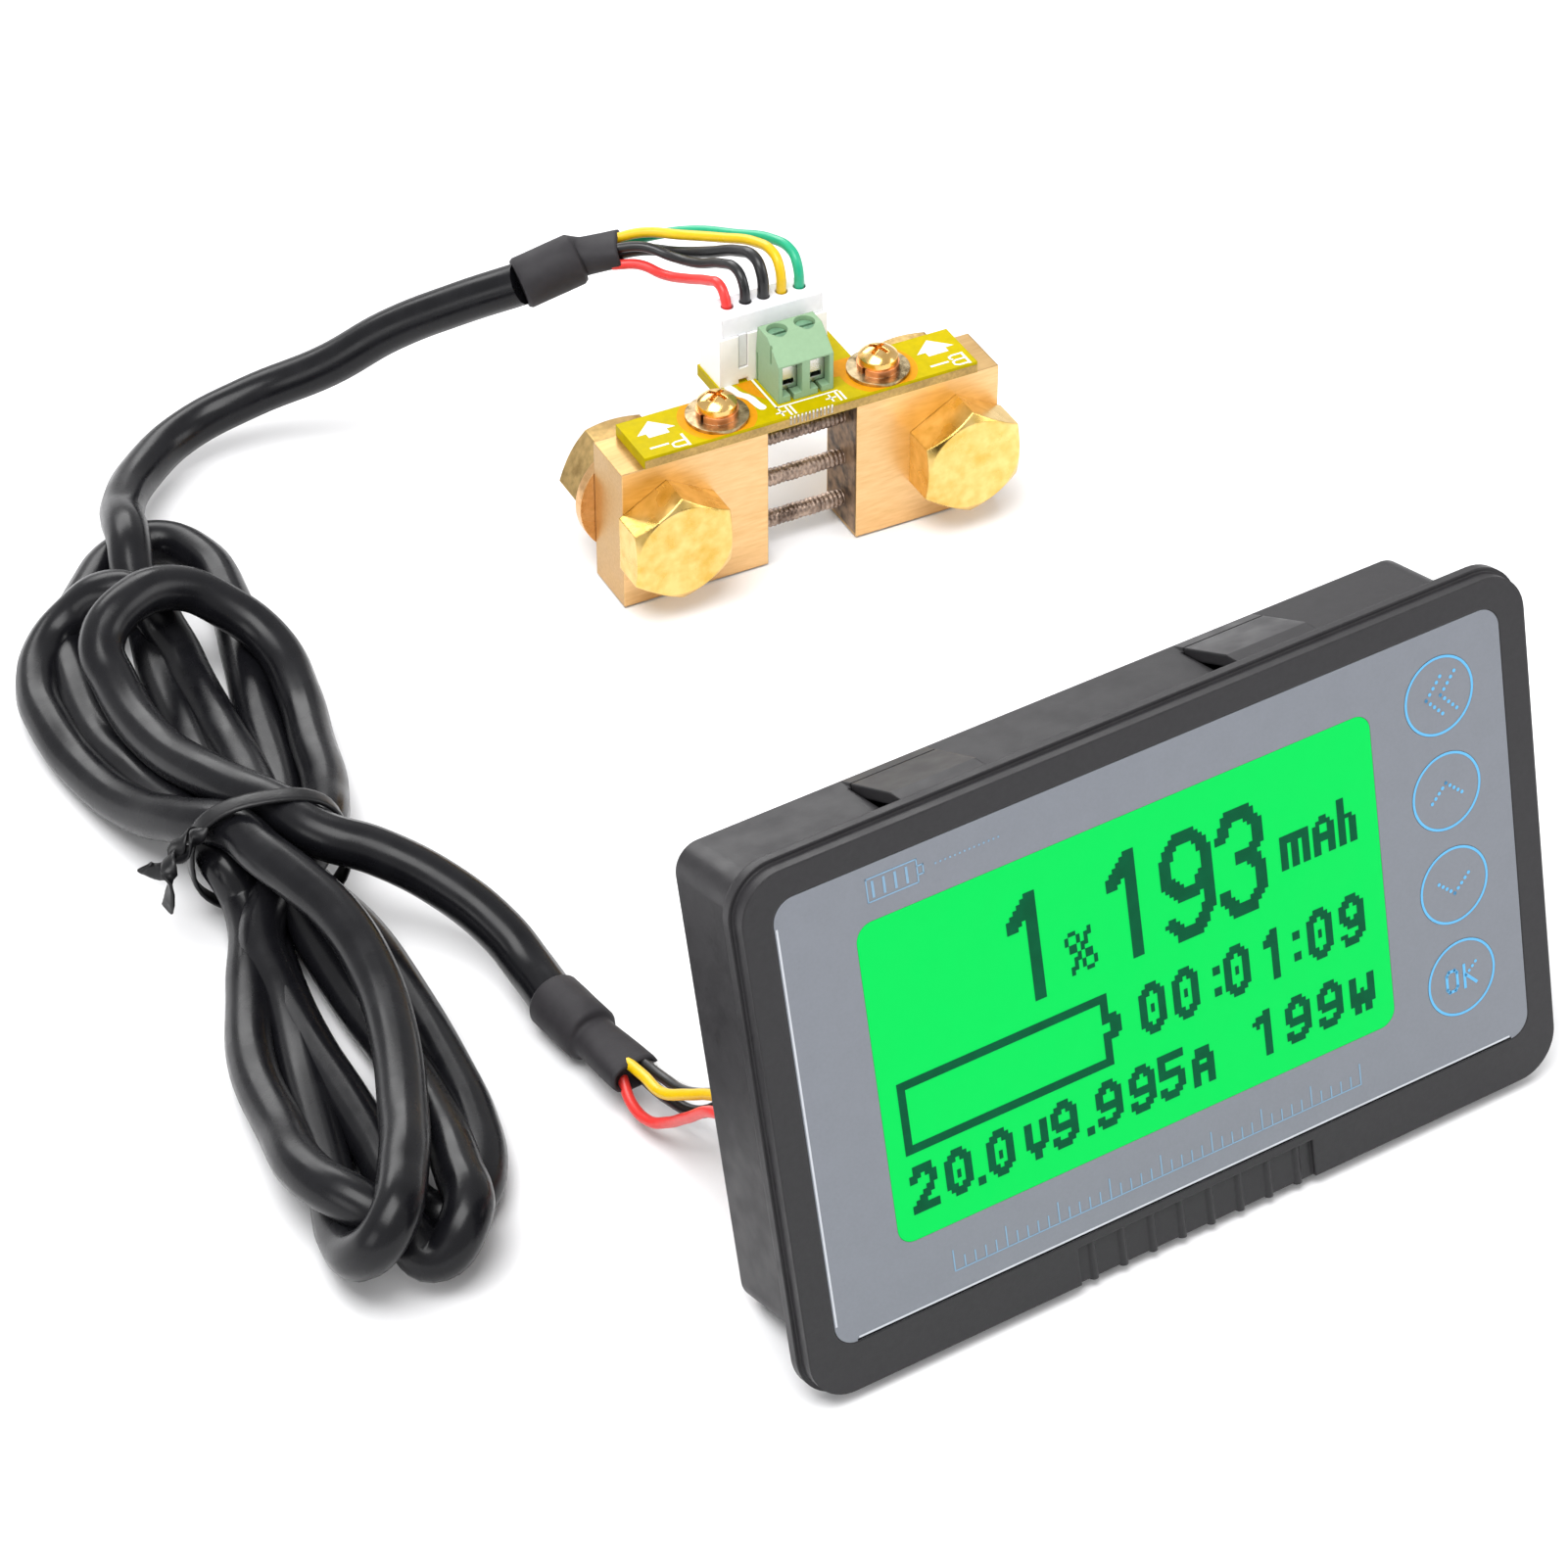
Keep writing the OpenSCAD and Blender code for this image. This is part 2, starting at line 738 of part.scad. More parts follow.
// Under each board screw's head, a flat washer with a split spring washer on it
module board_washers() {
  color("#c98a3a")
    in_shunt()
      for (side = [-1, 1])
        translate([side * screw_x, 0, board_top]) {
          washer(swasher_dia, flat_washer_t);
          translate([0, 0, flat_washer_t + eps])
            difference() {
              washer(spring_dia, spring_t);
              rotate([0, 0, 200])
                block(spring_dia / 2, -0.25, -1, spring_dia - 2, 0.5, 3);
            }
        }
}

module washer(dia, thick) {
  difference() {
    cylinder(d = dia, h = thick);
    translate([0, 0, -1])
      cylinder(r = 1.65, h = thick + 2);
  }
}

module board_screws() {
  seat = board_top + flat_washer_t + spring_t + 2 * eps;
  color("#e0a030")
    in_shunt()
      for (side = [-1, 1])
        translate([side * screw_x, 0, 0])
          difference() {
            union() {
              translate([0, 0, block_h - 5.8])
                cylinder(r = 1.5, h = seat - block_h + 5.8 + eps);
              translate([0, 0, seat])
                intersection() {
                  cylinder(r = bscrew_r, h = bscrew_h);
                  translate([0, 0, bscrew_h - bscrew_dome])
                    sphere(r = bscrew_dome);
                }
            }
            rotate([0, 0, 30]) {
              block(0, -0.3, seat + 0.9, 2.8, 0.6, 3);
              block(0, -1.4, seat + 0.9, 0.6, 2.8, 3);
            }
          }
}

module at_shunt_socket() {
  in_shunt()
    translate([header_x, header_y, board_top])
      children();
}

module shunt_header() {
  color("#efeee6")
    at_shunt_socket()
      header_shroud();
}

module shunt_header_pins() {
  color("#c9cacc")
    at_shunt_socket()
      header_pins();
}

module shunt_plug() {
  color("#e9edf2")
    at_shunt_socket()
      plug_body();
}

module terminal_housing() {
  color("#a9d8a6")
    in_shunt()
      translate([0, 0, board_top])
        difference() {
          translate([term_x - term_w / 2, 0, 0])
            rotate([90, 0, 90])
              linear_extrude(term_w)
                polygon([
                  [term_y, 0], [term_y, 5.4], [term_mid_y - 1, term_h],
                  [term_y + term_d - 0.5, term_h], [term_y + term_d, 4.3], [term_y + term_d, 0]
                ]);
          for (side = [-1, 1])
            translate([entry_x(side), 0, 0]) {
              block(0, term_y - eps, entry_lo, entry_w, term_mid_y - term_y, entry_hi - entry_lo);
              block(0, term_y - eps, -eps, lip_slot, cage_y - term_y + 1, entry_lo + 2 * eps);
              block(
                0, cage_y - slide_gap, cage_lo - slide_gap,
                cage_w + 2 * slide_gap, cage_d + 2 * slide_gap, ledge_lo - cage_lo + slide_gap
              );
              translate([0, term_mid_y, ledge_lo - eps])
                cylinder(r = tscrew_r + 0.2, h = term_h);
              translate([0, term_mid_y, ledge_lo + ledge_t])
                cylinder(r = tscrew_head_r + run_gap, h = term_h);
              translate([0, term_mid_y, -eps])
                cylinder(r = 0.55, h = 2);
            }
          block(term_x - term_w / 2, 0.75, 4.6, 2 * groove, 0.35, 3.4);
          block(term_x - term_w / 2, term_y + term_d - 0.6, -eps, 2 * groove, 0.3, 4.3);
        }
}

module terminal_pins() {
  color("#c9cacc")
    in_shunt()
      for (side = [-1, 1])
        translate([entry_x(side), term_mid_y, board_top - board_t - 1])
          cylinder(r = 0.5, h = board_t + 1.6);
}

module terminal_clamp(side) {
  color("#d5d7da")
    in_shunt()
      translate([entry_x(side), cage_y, board_top + cage_lo])
        difference() {
          block(0, 0, 0, cage_w, cage_d, cage_h);
          block(0, -eps, cage_bar, cage_w - 1, cage_d + 2 * eps, cage_h - cage_bar - cage_top_bar);
          translate([0, term_mid_y - cage_y, cage_bar + eps])
            cylinder(r = tscrew_r + 0.06, h = cage_h);
        }
}

module terminal_screw(side) {
  color("#c4c6c9")
    in_shunt()
      translate([entry_x(side), term_mid_y, board_top])
        difference() {
          union() {
            translate([0, 0, cage_lo + cage_h - cage_top_bar])
              cylinder(r = tscrew_r, h = ledge_lo + ledge_t + 0.1 - cage_lo - cage_h + cage_top_bar);
            translate([0, 0, ledge_lo + ledge_t + 0.05])
              cylinder(r = tscrew_head_r, h = tscrew_head_h);
          }
          block(0, -0.2, ledge_lo + ledge_t + tscrew_head_h - 0.6, 4, 0.4, 2);
        }
}

// A hexagonal prism along Y with its face corners turned off: one corner points up when turn is 0
module hex_along_y(af, y0, y1, chamfer_front, chamfer_back, turn = 0) {
  r = af / 2 / cos(30);
  h = y1 - y0;
  c = 0.8;
  translate([0, y1, 0])
    rotate([90, 0, 0])
      intersection() {
        rotate([0, 0, 30 + turn])
          cylinder(r = r, h = h, $fn = 6);
        rotate([0, 0, 10]) {
          cylinder(
            r1 = chamfer_back ? af / 2 - 0.2 : r + eps, r2 = r + eps, h = c
          );
          translate([0, 0, c])
            cylinder(r = r + eps, h = h - 2 * c);
          translate([0, 0, h - c])
            cylinder(
              r1 = r + eps, r2 = chamfer_front ? af / 2 - 0.2 : r + eps, h = c
            );
        }
      }
}

module terminal_bolt(side) {
  color("#d9a52e")
    in_shunt()
      translate([side_x(side), 0, bolt_z]) {
        hex_along_y(hex_af, -block_d / 2 - head_h, -block_d / 2, true, false);
        bar_y(
          bolt_dia / 2, 0, 0, -block_d / 2 - eps,
          block_d / 2 + slide_gap + washer_t + slide_gap + nut_h + bolt_end
        );
      }
}

module bolt_washer(side) {
  y0 = block_d / 2 + slide_gap;
  color("#d8ab52")
    in_shunt()
      difference() {
        bar_y(washer_dia / 2, side_x(side), bolt_z, y0, y0 + washer_t);
        bar_y(bolt_dia / 2 + 0.2, side_x(side), bolt_z, y0 - 1, y0 + washer_t + 1);
      }
}

module terminal_nut(side) {
  y0 = block_d / 2 + 2 * slide_gap + washer_t;
  color("#a5822e")
    in_shunt()
      difference() {
        translate([side_x(side), 0, bolt_z])
          hex_along_y(hex_af, y0, y0 + nut_h, true, true, 30);
        bar_y(bolt_dia / 2 + fit_gap, side_x(side), bolt_z, y0 - 1, y0 + nut_h + 1);
      }
}

// ---------- cable ----------

function wire_x(i) = (i - (ways - 1) / 2) * pin_pitch;

// Where each wire leaves a sleeve's flat end, across it and up, in two staggered rows
function bundle(i) = [(i - (ways - 1) / 2) * 1.1, i % 2 == 0 ? -0.8 : 0.8];

// Points of the set's frame from points of the display's and the shunt's own frames
function from_meter(p) = [
  meter_x + p[0],
  meter_y + p[1] * cos(meter_lean) + p[2] * sin(meter_lean),
  p[2] * cos(meter_lean) - p[1] * sin(meter_lean)
];
function from_shunt(p) = [
  shunt_x + p[0] * cos(shunt_yaw) - p[1] * sin(shunt_yaw),
  shunt_y + p[0] * sin(shunt_yaw) + p[1] * cos(shunt_yaw),
  p[2]
];

// Wires fan out from the flat end of a sleeve and turn down into the plug's holes
module wires_shunt() {
  top = board_top + header_h + plug_out;
  color("#b03030")
    for (i = [0 : ways - 1]) {
      hole = from_shunt([header_x + wire_x(i), header_y, top - 1]);
      tube(concat(shunt_wire_routes[i], [hole + [0, 0.5, shunt_wire_routes[i][5][2] - top], hole]), wire_dia);
    }
}

module wires_meter() {
  rear = board_y + board_t + header_h + plug_out;
  start = sleeve_meter_ends[2];
  color("#b03030")
    for (i = [0 : ways - 1]) {
      hole = from_meter([socket_x + wire_x(i), rear - 1, socket_z]);
      out = from_meter([socket_x + wire_x(i), rear + 3.5, socket_z]);
      tube([
        start + [bundle(i)[0], 1, bundle(i)[1]],
        start + [0.2 + 1.3 * bundle(i)[0], -5, 1.6 + bundle(i)[1]],
        out + [-0.3, 5.5, -2.6 + 0.5 * bundle(i)[1]],
        out,
        hole
      ], wire_dia);
    }
}

module sleeve(ends) {
  color("#2a2a2d") {
    along_line(ends[0], ends[1])
      cylinder(d = sleeve_dia, h = norm(ends[1] - ends[0]));
    along_line(ends[1], ends[2])
      rotate([0, 0, 90])
        linear_extrude(norm(ends[2] - ends[1]))
          rounded(flat_w, flat_t, flat_t / 2 - eps);
  }
}

module cable_lead_shunt() {
  color("#1d1d20")
    tube(lead_shunt_route, cable_dia);
}

module cable_lead_meter() {
  color("#1d1d20")
    tube(lead_meter_route, cable_dia);
}

module spot(s) {
  translate([s[0], s[1]])
    circle(r = s[2]);
}

module chain(spots) {
  for (i = [0 : len(spots) - 2])
    hull() {
      spot(spots[i]);
      spot(spots[i + 1]);
    }
}

module cable_hank() {
  lift = (hank_h - waist_h) / 2;
  color("#1d1d20") {
    linear_extrude(hank_h)
      difference() {
        union() {
          chain(hank_upper);
          chain(hank_lower);
        }
        translate([waist[0], waist[1]])
          rotate(waist_turn)
            square([40, tie_w + 4], center = true);
      }
    translate([waist[0], waist[1], lift])
      rotate(waist_turn)
        linear_extrude(waist_h)
          square([waist_w, tie_w + 8], center = true);
  }
}

module twist_tie() {
  lift = (hank_h - waist_h) / 2;
  color("#141416")
    translate(waist)
      rotate(waist_turn) {
        difference() {
          block(0, -tie_w / 2, lift - tie_t - fit_gap, waist_w + 2 * tie_t + 2 * fit_gap, tie_w,
            waist_h + 2 * tie_t + 2 * fit_gap);
          block(0, -tie_w, lift - fit_gap, waist_w + 2 * fit_gap, 2 * tie_w, waist_h + 2 * fit_gap);
        }
        translate([-waist_w / 2 - 5, 0, hank_h - 5])
          rotate([0, -90, 20])
            cylinder(d = 2.4, h = 9);
        translate([-waist_w / 2 - tie_t - 4.6, -1, hank_h - 6])
          cube([4.8, 2, 2]);
      }
}

// ---------- nodes ----------

front_case();
rear_cover();
case_screws();
snap_clip([-1, 1]);  // snap_clip_top_left
snap_clip([1, 1]);  // snap_clip_top_right
snap_clip([-1, -1]);  // snap_clip_bottom_left
snap_clip([1, -1]);  // snap_clip_bottom_right
front_overlay();
lcd_window();
lcd_frame();
lcd_glass();
lcd_backlight();
lcd_pins();
main_board();
board_parts();
key_switches();
key(3);  // key_left
key(2);  // key_up
key(1);  // key_down
key(0);  // key_ok
meter_header();
meter_header_pins();
meter_plug();
brass_block(-1);  // block_left
brass_block(1);  // block_right
resistor_rods();
shunt_board();
board_washers();
board_screws();
shunt_header();
shunt_header_pins();
shunt_plug();
terminal_housing();
terminal_pins();
terminal_screw(-1);  // terminal_screw_left
terminal_screw(1);  // terminal_screw_right
terminal_clamp(-1);  // terminal_clamp_left
terminal_clamp(1);  // terminal_clamp_right
terminal_bolt(-1);  // bolt_left
terminal_bolt(1);  // bolt_right
bolt_washer(-1);  // washer_left
bolt_washer(1);  // washer_right
terminal_nut(-1);  // nut_left
terminal_nut(1);  // nut_right
wires_shunt();
sleeve(sleeve_shunt_ends);  // sleeve_shunt
cable_lead_shunt();
cable_hank();
cable_lead_meter();
sleeve(sleeve_meter_ends);  // sleeve_meter
wires_meter();
twist_tie();
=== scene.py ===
import bpy
import math
from mathutils import Euler, Matrix, Vector


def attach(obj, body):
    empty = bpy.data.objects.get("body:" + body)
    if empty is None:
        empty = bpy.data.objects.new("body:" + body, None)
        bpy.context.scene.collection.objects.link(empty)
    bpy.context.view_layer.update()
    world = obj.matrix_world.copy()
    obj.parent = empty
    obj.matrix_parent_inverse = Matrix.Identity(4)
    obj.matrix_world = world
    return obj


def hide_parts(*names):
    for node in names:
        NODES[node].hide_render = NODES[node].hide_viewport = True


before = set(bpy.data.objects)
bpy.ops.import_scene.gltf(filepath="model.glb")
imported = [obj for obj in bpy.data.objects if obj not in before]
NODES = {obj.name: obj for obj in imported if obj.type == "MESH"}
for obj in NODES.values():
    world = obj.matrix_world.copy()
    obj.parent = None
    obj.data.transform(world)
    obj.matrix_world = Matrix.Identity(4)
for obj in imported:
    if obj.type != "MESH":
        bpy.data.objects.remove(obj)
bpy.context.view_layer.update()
MM = 0.001

# ---------------------------------------------------------------- places
LEAN = math.radians(14)          # the display leans back on its lower edges
YAW = math.radians(-5.7)         # the shunt is turned a little about the vertical
METER_PLACE = (-6, -71, 0)       # the display's lower front edge, in millimetres
SHUNT_PLACE = (26.8, 56.6, 0)    # the shunt's middle, in millimetres
WORLD = Matrix.Scale(MM, 4)      # each of these three takes millimetres to the frame's metres
METER = Matrix.Scale(MM, 4) @ Matrix.Translation(METER_PLACE) @ Matrix.Rotation(-LEAN, 4, "X")
SHUNT = Matrix.Scale(MM, 4) @ Matrix.Translation(SHUNT_PLACE) @ Matrix.Rotation(YAW, 4, "Z")

# ---------------------------------------------------------------- sizes, in millimetres
FACE_Y = -3.0                    # front of the display's overlay
BOARD_TOP = 21.6                 # top of the shunt's board
BOARD_FRONT = -4.1               # front edge of the shunt's board
BOARD_HALF_LENGTH = 23.05        # just inside its ends
SCREW_X = 11.2                   # board screws from the shunt's middle
BLOCK_GAP = 12.4                 # between the shunt's two blocks
CABLE_DIA = 5.6
SLEEVE_DIA = 6.8
WIRE_DIA = 1.3
THICK_WIRE_DIA = 1.5
PIN_PITCH = 2.5

# ---------------------------------------------------------------- camera
camera_data = bpy.data.cameras.new("camera")
camera_data.lens = 116.7
camera_data.sensor_width = 36
CAMERA_PLACE = (-0.2553, -0.3796, 0.3814)
CAMERA_DOWN = 39.11              # degrees that it looks down
CAMERA_TURN = -32.70             # degrees about the vertical
camera = bpy.data.objects.new("camera", camera_data)
camera.location = CAMERA_PLACE
camera.rotation_euler = Euler((math.radians(90 - CAMERA_DOWN), 0, math.radians(CAMERA_TURN)))
bpy.context.scene.collection.objects.link(camera)
bpy.context.scene.camera = camera


# ---------------------------------------------------------------- materials
SIDE_SHADE_LIMIT = 0.6             # a face gets painted shade where less of its normal than this is along Y
BEVEL_SAMPLES = 6


def surface(name, colour, rough=0.5, metal=0.0, vary=0.08, grain=900, stretch=(1, 1, 1),
            bump=0.0, bump_scale=2500, rough_vary=0.08, coat=0.0, round_mm=0.0, second=None,
            patch=300, glow=0.0, bump_mm=0.05, specular=0.5, above=None, painted_side_shade=None):
    """A finish with fine colour variation, uneven roughness and a bumped grain, in the object's own space.

    The colour runs from a darker to a lighter shade of itself, or to a second colour, in a mix of
    fine grain and broad patches. Sharp edges shade as if rounded by round_mm. above=(height, colour)
    gives another colour above a height in millimetres, and painted_side_shade darkens the faces that
    don't look to the front or back, as painted shade.
    """
    mat = bpy.data.materials.new(name)
    mat.use_nodes = True
    nt = mat.node_tree
    nt.nodes.clear()
    out = nt.nodes.new("ShaderNodeOutputMaterial")
    bsdf = nt.nodes.new("ShaderNodeBsdfPrincipled")
    nt.links.new(bsdf.outputs["BSDF"], out.inputs["Surface"])
    bsdf.inputs["Metallic"].default_value = metal
    bsdf.inputs["Coat Weight"].default_value = coat
    bsdf.inputs["Coat Roughness"].default_value = 0.12
    bsdf.inputs["Specular IOR Level"].default_value = specular
    coord = nt.nodes.new("ShaderNodeTexCoord")
    mapping = nt.nodes.new("ShaderNodeMapping")
    mapping.inputs["Scale"].default_value = stretch
    nt.links.new(coord.outputs["Object"], mapping.inputs["Vector"])

    def noise(scale, detail=3.0):
        n = nt.nodes.new("ShaderNodeTexNoise")
        n.inputs["Scale"].default_value = scale
        n.inputs["Detail"].default_value = detail
        nt.links.new(mapping.outputs["Vector"], n.inputs["Vector"])
        return n

    fine = noise(grain)
    broad = noise(patch, 2.0)
    base = Vector(colour)
    dark = nt.nodes.new("ShaderNodeMixRGB")
    dark.blend_type = "MIX"
    dark.inputs["Color1"].default_value = (*(base * (1 - vary)), 1)
    light = base * (1 + vary) if second is None else Vector(second)
    dark.inputs["Color2"].default_value = (*[min(1.0, c) for c in light], 1)
    blend = nt.nodes.new("ShaderNodeMath")
    blend.operation = "MULTIPLY_ADD"
    blend.inputs[1].default_value = 0.5
    nt.links.new(fine.outputs["Fac"], blend.inputs[0])
    half = nt.nodes.new("ShaderNodeMath")
    half.operation = "MULTIPLY"
    half.inputs[1].default_value = 0.5
    nt.links.new(broad.outputs["Fac"], half.inputs[0])
    nt.links.new(half.outputs[0], blend.inputs[2])
    ramp = nt.nodes.new("ShaderNodeMapRange")
    ramp.inputs["From Min"].default_value = 0.35
    ramp.inputs["From Max"].default_value = 0.65
    nt.links.new(blend.outputs[0], ramp.inputs["Value"])
    nt.links.new(ramp.outputs["Result"], dark.inputs["Fac"])
    tint = dark.outputs["Color"]
    if above:
        height_mm, top_colour = above
        spot = nt.nodes.new("ShaderNodeSeparateXYZ")
        nt.links.new(coord.outputs["Object"], spot.inputs[0])
        over = nt.nodes.new("ShaderNodeMath")
        over.operation = "GREATER_THAN"
        over.inputs[1].default_value = height_mm * MM
        nt.links.new(spot.outputs["Z"], over.inputs[0])
        pick = nt.nodes.new("ShaderNodeMixRGB")
        pick.inputs["Color2"].default_value = (*top_colour, 1)
        nt.links.new(over.outputs[0], pick.inputs["Fac"])
        nt.links.new(tint, pick.inputs["Color1"])
        tint = pick.outputs["Color"]
    # painted shade: faces that don't look to the front or back are multiplied darker
    if painted_side_shade:
        facing = nt.nodes.new("ShaderNodeSeparateXYZ")
        nt.links.new(coord.outputs["Normal"], facing.inputs[0])
        size = nt.nodes.new("ShaderNodeMath")
        size.operation = "ABSOLUTE"
        nt.links.new(facing.outputs["Y"], size.inputs[0])
        turned = nt.nodes.new("ShaderNodeMath")
        turned.operation = "LESS_THAN"
        turned.inputs[1].default_value = SIDE_SHADE_LIMIT
        nt.links.new(size.outputs[0], turned.inputs[0])
        side_shade_tint = nt.nodes.new("ShaderNodeMixRGB")
        side_shade_tint.blend_type = "MULTIPLY"
        side_shade_tint.inputs["Color2"].default_value = (*painted_side_shade, 1)
        nt.links.new(turned.outputs[0], side_shade_tint.inputs["Fac"])
        nt.links.new(tint, side_shade_tint.inputs["Color1"])
        tint = side_shade_tint.outputs["Color"]
    nt.links.new(tint, bsdf.inputs["Base Color"])
    rough_range = nt.nodes.new("ShaderNodeMapRange")
    rough_range.inputs["From Min"].default_value = 0.3
    rough_range.inputs["From Max"].default_value = 0.7
    rough_range.inputs["To Min"].default_value = max(0.02, rough - rough_vary)
    rough_range.inputs["To Max"].default_value = min(1.0, rough + rough_vary)
    nt.links.new(broad.outputs["Fac"], rough_range.inputs["Value"])
    nt.links.new(rough_range.outputs["Result"], bsdf.inputs["Roughness"])
    if glow:
        bsdf.inputs["Emission Color"].default_value = (*colour, 1)
        bsdf.inputs["Emission Strength"].default_value = glow
    normal = None
    if round_mm:
        rounder = nt.nodes.new("ShaderNodeBevel")
        rounder.samples = BEVEL_SAMPLES
        rounder.inputs["Radius"].default_value = round_mm * MM
        normal = rounder.outputs["Normal"]
    if bump:
        height = noise(bump_scale).outputs["Fac"]
        bumper = nt.nodes.new("ShaderNodeBump")
        bumper.inputs["Strength"].default_value = bump
        bumper.inputs["Distance"].default_value = bump_mm * MM
        nt.links.new(height, bumper.inputs["Height"])
        if normal is not None:
            nt.links.new(normal, bumper.inputs["Normal"])
        normal = bumper.outputs["Normal"]
    if normal is not None:
        nt.links.new(normal, bsdf.inputs["Normal"])
    return mat


# the display
case_plastic = surface("case_plastic", (0.021, 0.020, 0.022), 0.42, vary=0.12, grain=1500, bump=0.35,
                       bump_scale=5200, bump_mm=0.03, round_mm=0.35, specular=0.3)
cover_plastic = surface("cover_plastic", (0.018, 0.018, 0.019), 0.5, vary=0.12, grain=1500, bump=0.45,
                        bump_scale=4200, bump_mm=0.03, round_mm=0.3, specular=0.3)
film = surface("film", (0.185, 0.198, 0.226), 0.4, vary=0.035, grain=2600, bump=0.12, bump_scale=9000,
               bump_mm=0.01, round_mm=0.12, specular=0.35)
film_print = surface("film_print", (0.12, 0.42, 0.72), 0.45, vary=0.05, grain=4000, bump=0.1, specular=0.2)
film_pale = surface("film_pale", (0.20, 0.34, 0.48), 0.45, vary=0.05, grain=4000, bump=0.1, specular=0.2)
# painted shadow for the gap along the overlay's foot
film_gap_shadow = surface("film_gap_shadow", (0.004, 0.004, 0.005), 0.6, vary=0.1, bump=0.1, specular=0.1)
film_rim = surface("film_rim", (0.52, 0.54, 0.58), 0.4, vary=0.05, bump=0.1, specular=0.4)
screen = surface("screen", (0.001, 0.44, 0.062), 0.5, vary=0.01, grain=500, bump=0.03, bump_scale=8000,
                 bump_mm=0.005, glow=0.6, specular=0.06)
screen_ink = surface("screen_ink", (0.001, 0.085, 0.032), 0.5, vary=0.12, grain=700, bump=0.05, specular=0.05)
# the shunt
# the blocks' side faces get painted shade, darker than their fronts and backs
block_metal = surface("block_metal", (0.80, 0.50, 0.22), 0.38, 1.0, 0.1, 2600, stretch=(0.12, 1, 1), bump=0.5,
                      bump_scale=5200, bump_mm=0.02, round_mm=0.25, second=(0.86, 0.58, 0.29),
                      painted_side_shade=(0.70, 0.69, 0.62))
# a dark brown for the sheets on the blocks' inner faces
block_inner_dark = surface("block_inner_dark", (0.06, 0.038, 0.026), 0.5, 0.6, 0.3, 900, bump=0.6, bump_scale=2600,
                      bump_mm=0.05, second=(0.42, 0.28, 0.18), patch=420)
head_metal = surface("head_metal", (0.81, 0.52, 0.11), 0.3, 1.0, 0.12, 700, bump=0.4, bump_scale=1500,
                     bump_mm=0.03, round_mm=0.3, second=(0.94, 0.66, 0.24))
# the nuts: a darker copy of the bolt heads' brass, as painted shade behind the blocks
nut_shaded_brass = surface("nut_shaded_brass", (0.50, 0.32, 0.11), 0.34, 1.0, 0.2, 900, bump=0.6, bump_scale=2500,
                    bump_mm=0.04, round_mm=0.3, second=(0.76, 0.52, 0.21))
washer_metal = surface("washer_metal", (0.74, 0.41, 0.16), 0.3, 1.0, 0.12, 1400, bump=0.3, round_mm=0.15,
                       second=(0.86, 0.53, 0.25))
SPRING_WASHER_FOOT = 22.12       # height where the flat washers end and the spring washers start
small_washers = surface("small_washers", (0.24, 0.17, 0.08), 0.32, 1.0, 0.3, 1200, bump=0.4, bump_scale=2600,
                        bump_mm=0.03, round_mm=0.1, second=(0.62, 0.50, 0.30),
                        above=(SPRING_WASHER_FOOT, (0.78, 0.33, 0.15)))
screw_gold = surface("screw_gold", (0.86, 0.50, 0.13), 0.17, 1.0, 0.1, 900, bump=0.3, bump_scale=2200,
                     bump_mm=0.03, round_mm=0.25, second=(0.95, 0.64, 0.26))
rod_metal = surface("rod_metal", (0.14, 0.095, 0.075), 0.42, 1.0, 0.3, 1600, bump=0.9, bump_scale=3200,
                    bump_mm=0.12, second=(0.55, 0.42, 0.34))
board_mask = surface("board_mask", (0.445, 0.36, 0.0), 0.4, vary=0.05, grain=1200, bump=0.08, bump_scale=4000,
                     round_mm=0.1, second=(0.50, 0.39, 0.0), specular=0.04)
board_copper = surface("board_copper", (0.66, 0.27, 0.006), 0.4, vary=0.08, grain=1500, bump=0.1,
                       specular=0.06)
board_silk = surface("board_silk", (0.80, 0.80, 0.76), 0.55, vary=0.04, grain=2200, bump=0.2, bump_scale=5000,
                     specular=0.2)
board_edge = surface("board_edge", (0.46, 0.30, 0.10), 0.6, vary=0.25, grain=2600, bump=0.5, bump_scale=4200,
                     specular=0.2)
# boards, connectors and small metal
main_mask = surface("main_mask", (0.015, 0.13, 0.05), 0.3, vary=0.12, grain=800, bump=0.12,
                    bump_scale=3000, coat=0.4)
chip_black = surface("chip_black", (0.02, 0.02, 0.022), 0.5, vary=0.2, bump=0.2, bump_scale=4000,
                     round_mm=0.1)
# painted glow: the headers' nylon faintly emits light, though it is no lamp
header_nylon_glowing = surface("header_nylon_glowing", (0.92, 0.90, 0.87), 0.36, vary=0.02, grain=1200, bump=0.1,
                       bump_scale=3000, round_mm=0.2, specular=0.35, glow=0.06)
plug_nylon = surface("plug_nylon", (0.84, 0.84, 0.87), 0.36, vary=0.025, grain=1200, bump=0.1,
                     bump_scale=3000, round_mm=0.2, specular=0.35)
terminal_nylon = surface("terminal_nylon", (0.268, 0.418, 0.252), 0.42, vary=0.04, grain=1600, bump=0.15,
                         bump_scale=3500, round_mm=0.2, specular=0.3)
zinc = surface("zinc", (0.70, 0.69, 0.68), 0.3, 1.0, 0.1, 1500, bump=0.3, bump_scale=3000, round_mm=0.15)
# the terminal's steel screws, darkened and tinted green as painted shade deep in their holes
terminal_screw_shade = surface("terminal_screw_shade", (0.20, 0.38, 0.24), 0.5, 0.2, 0.2, 1500, bump=0.3, bump_scale=3000,
                         round_mm=0.1)
steel_dark = surface("steel_dark", (0.05, 0.05, 0.055), 0.45, 1.0, 0.15, 1500, bump=0.2)
tin = surface("tin", (0.74, 0.74, 0.75), 0.2, 1.0, 0.08, 1800, bump=0.2, round_mm=0.08)
diffuser = surface("diffuser", (0.8, 0.82, 0.78), 0.6, vary=0.03, bump=0.1)
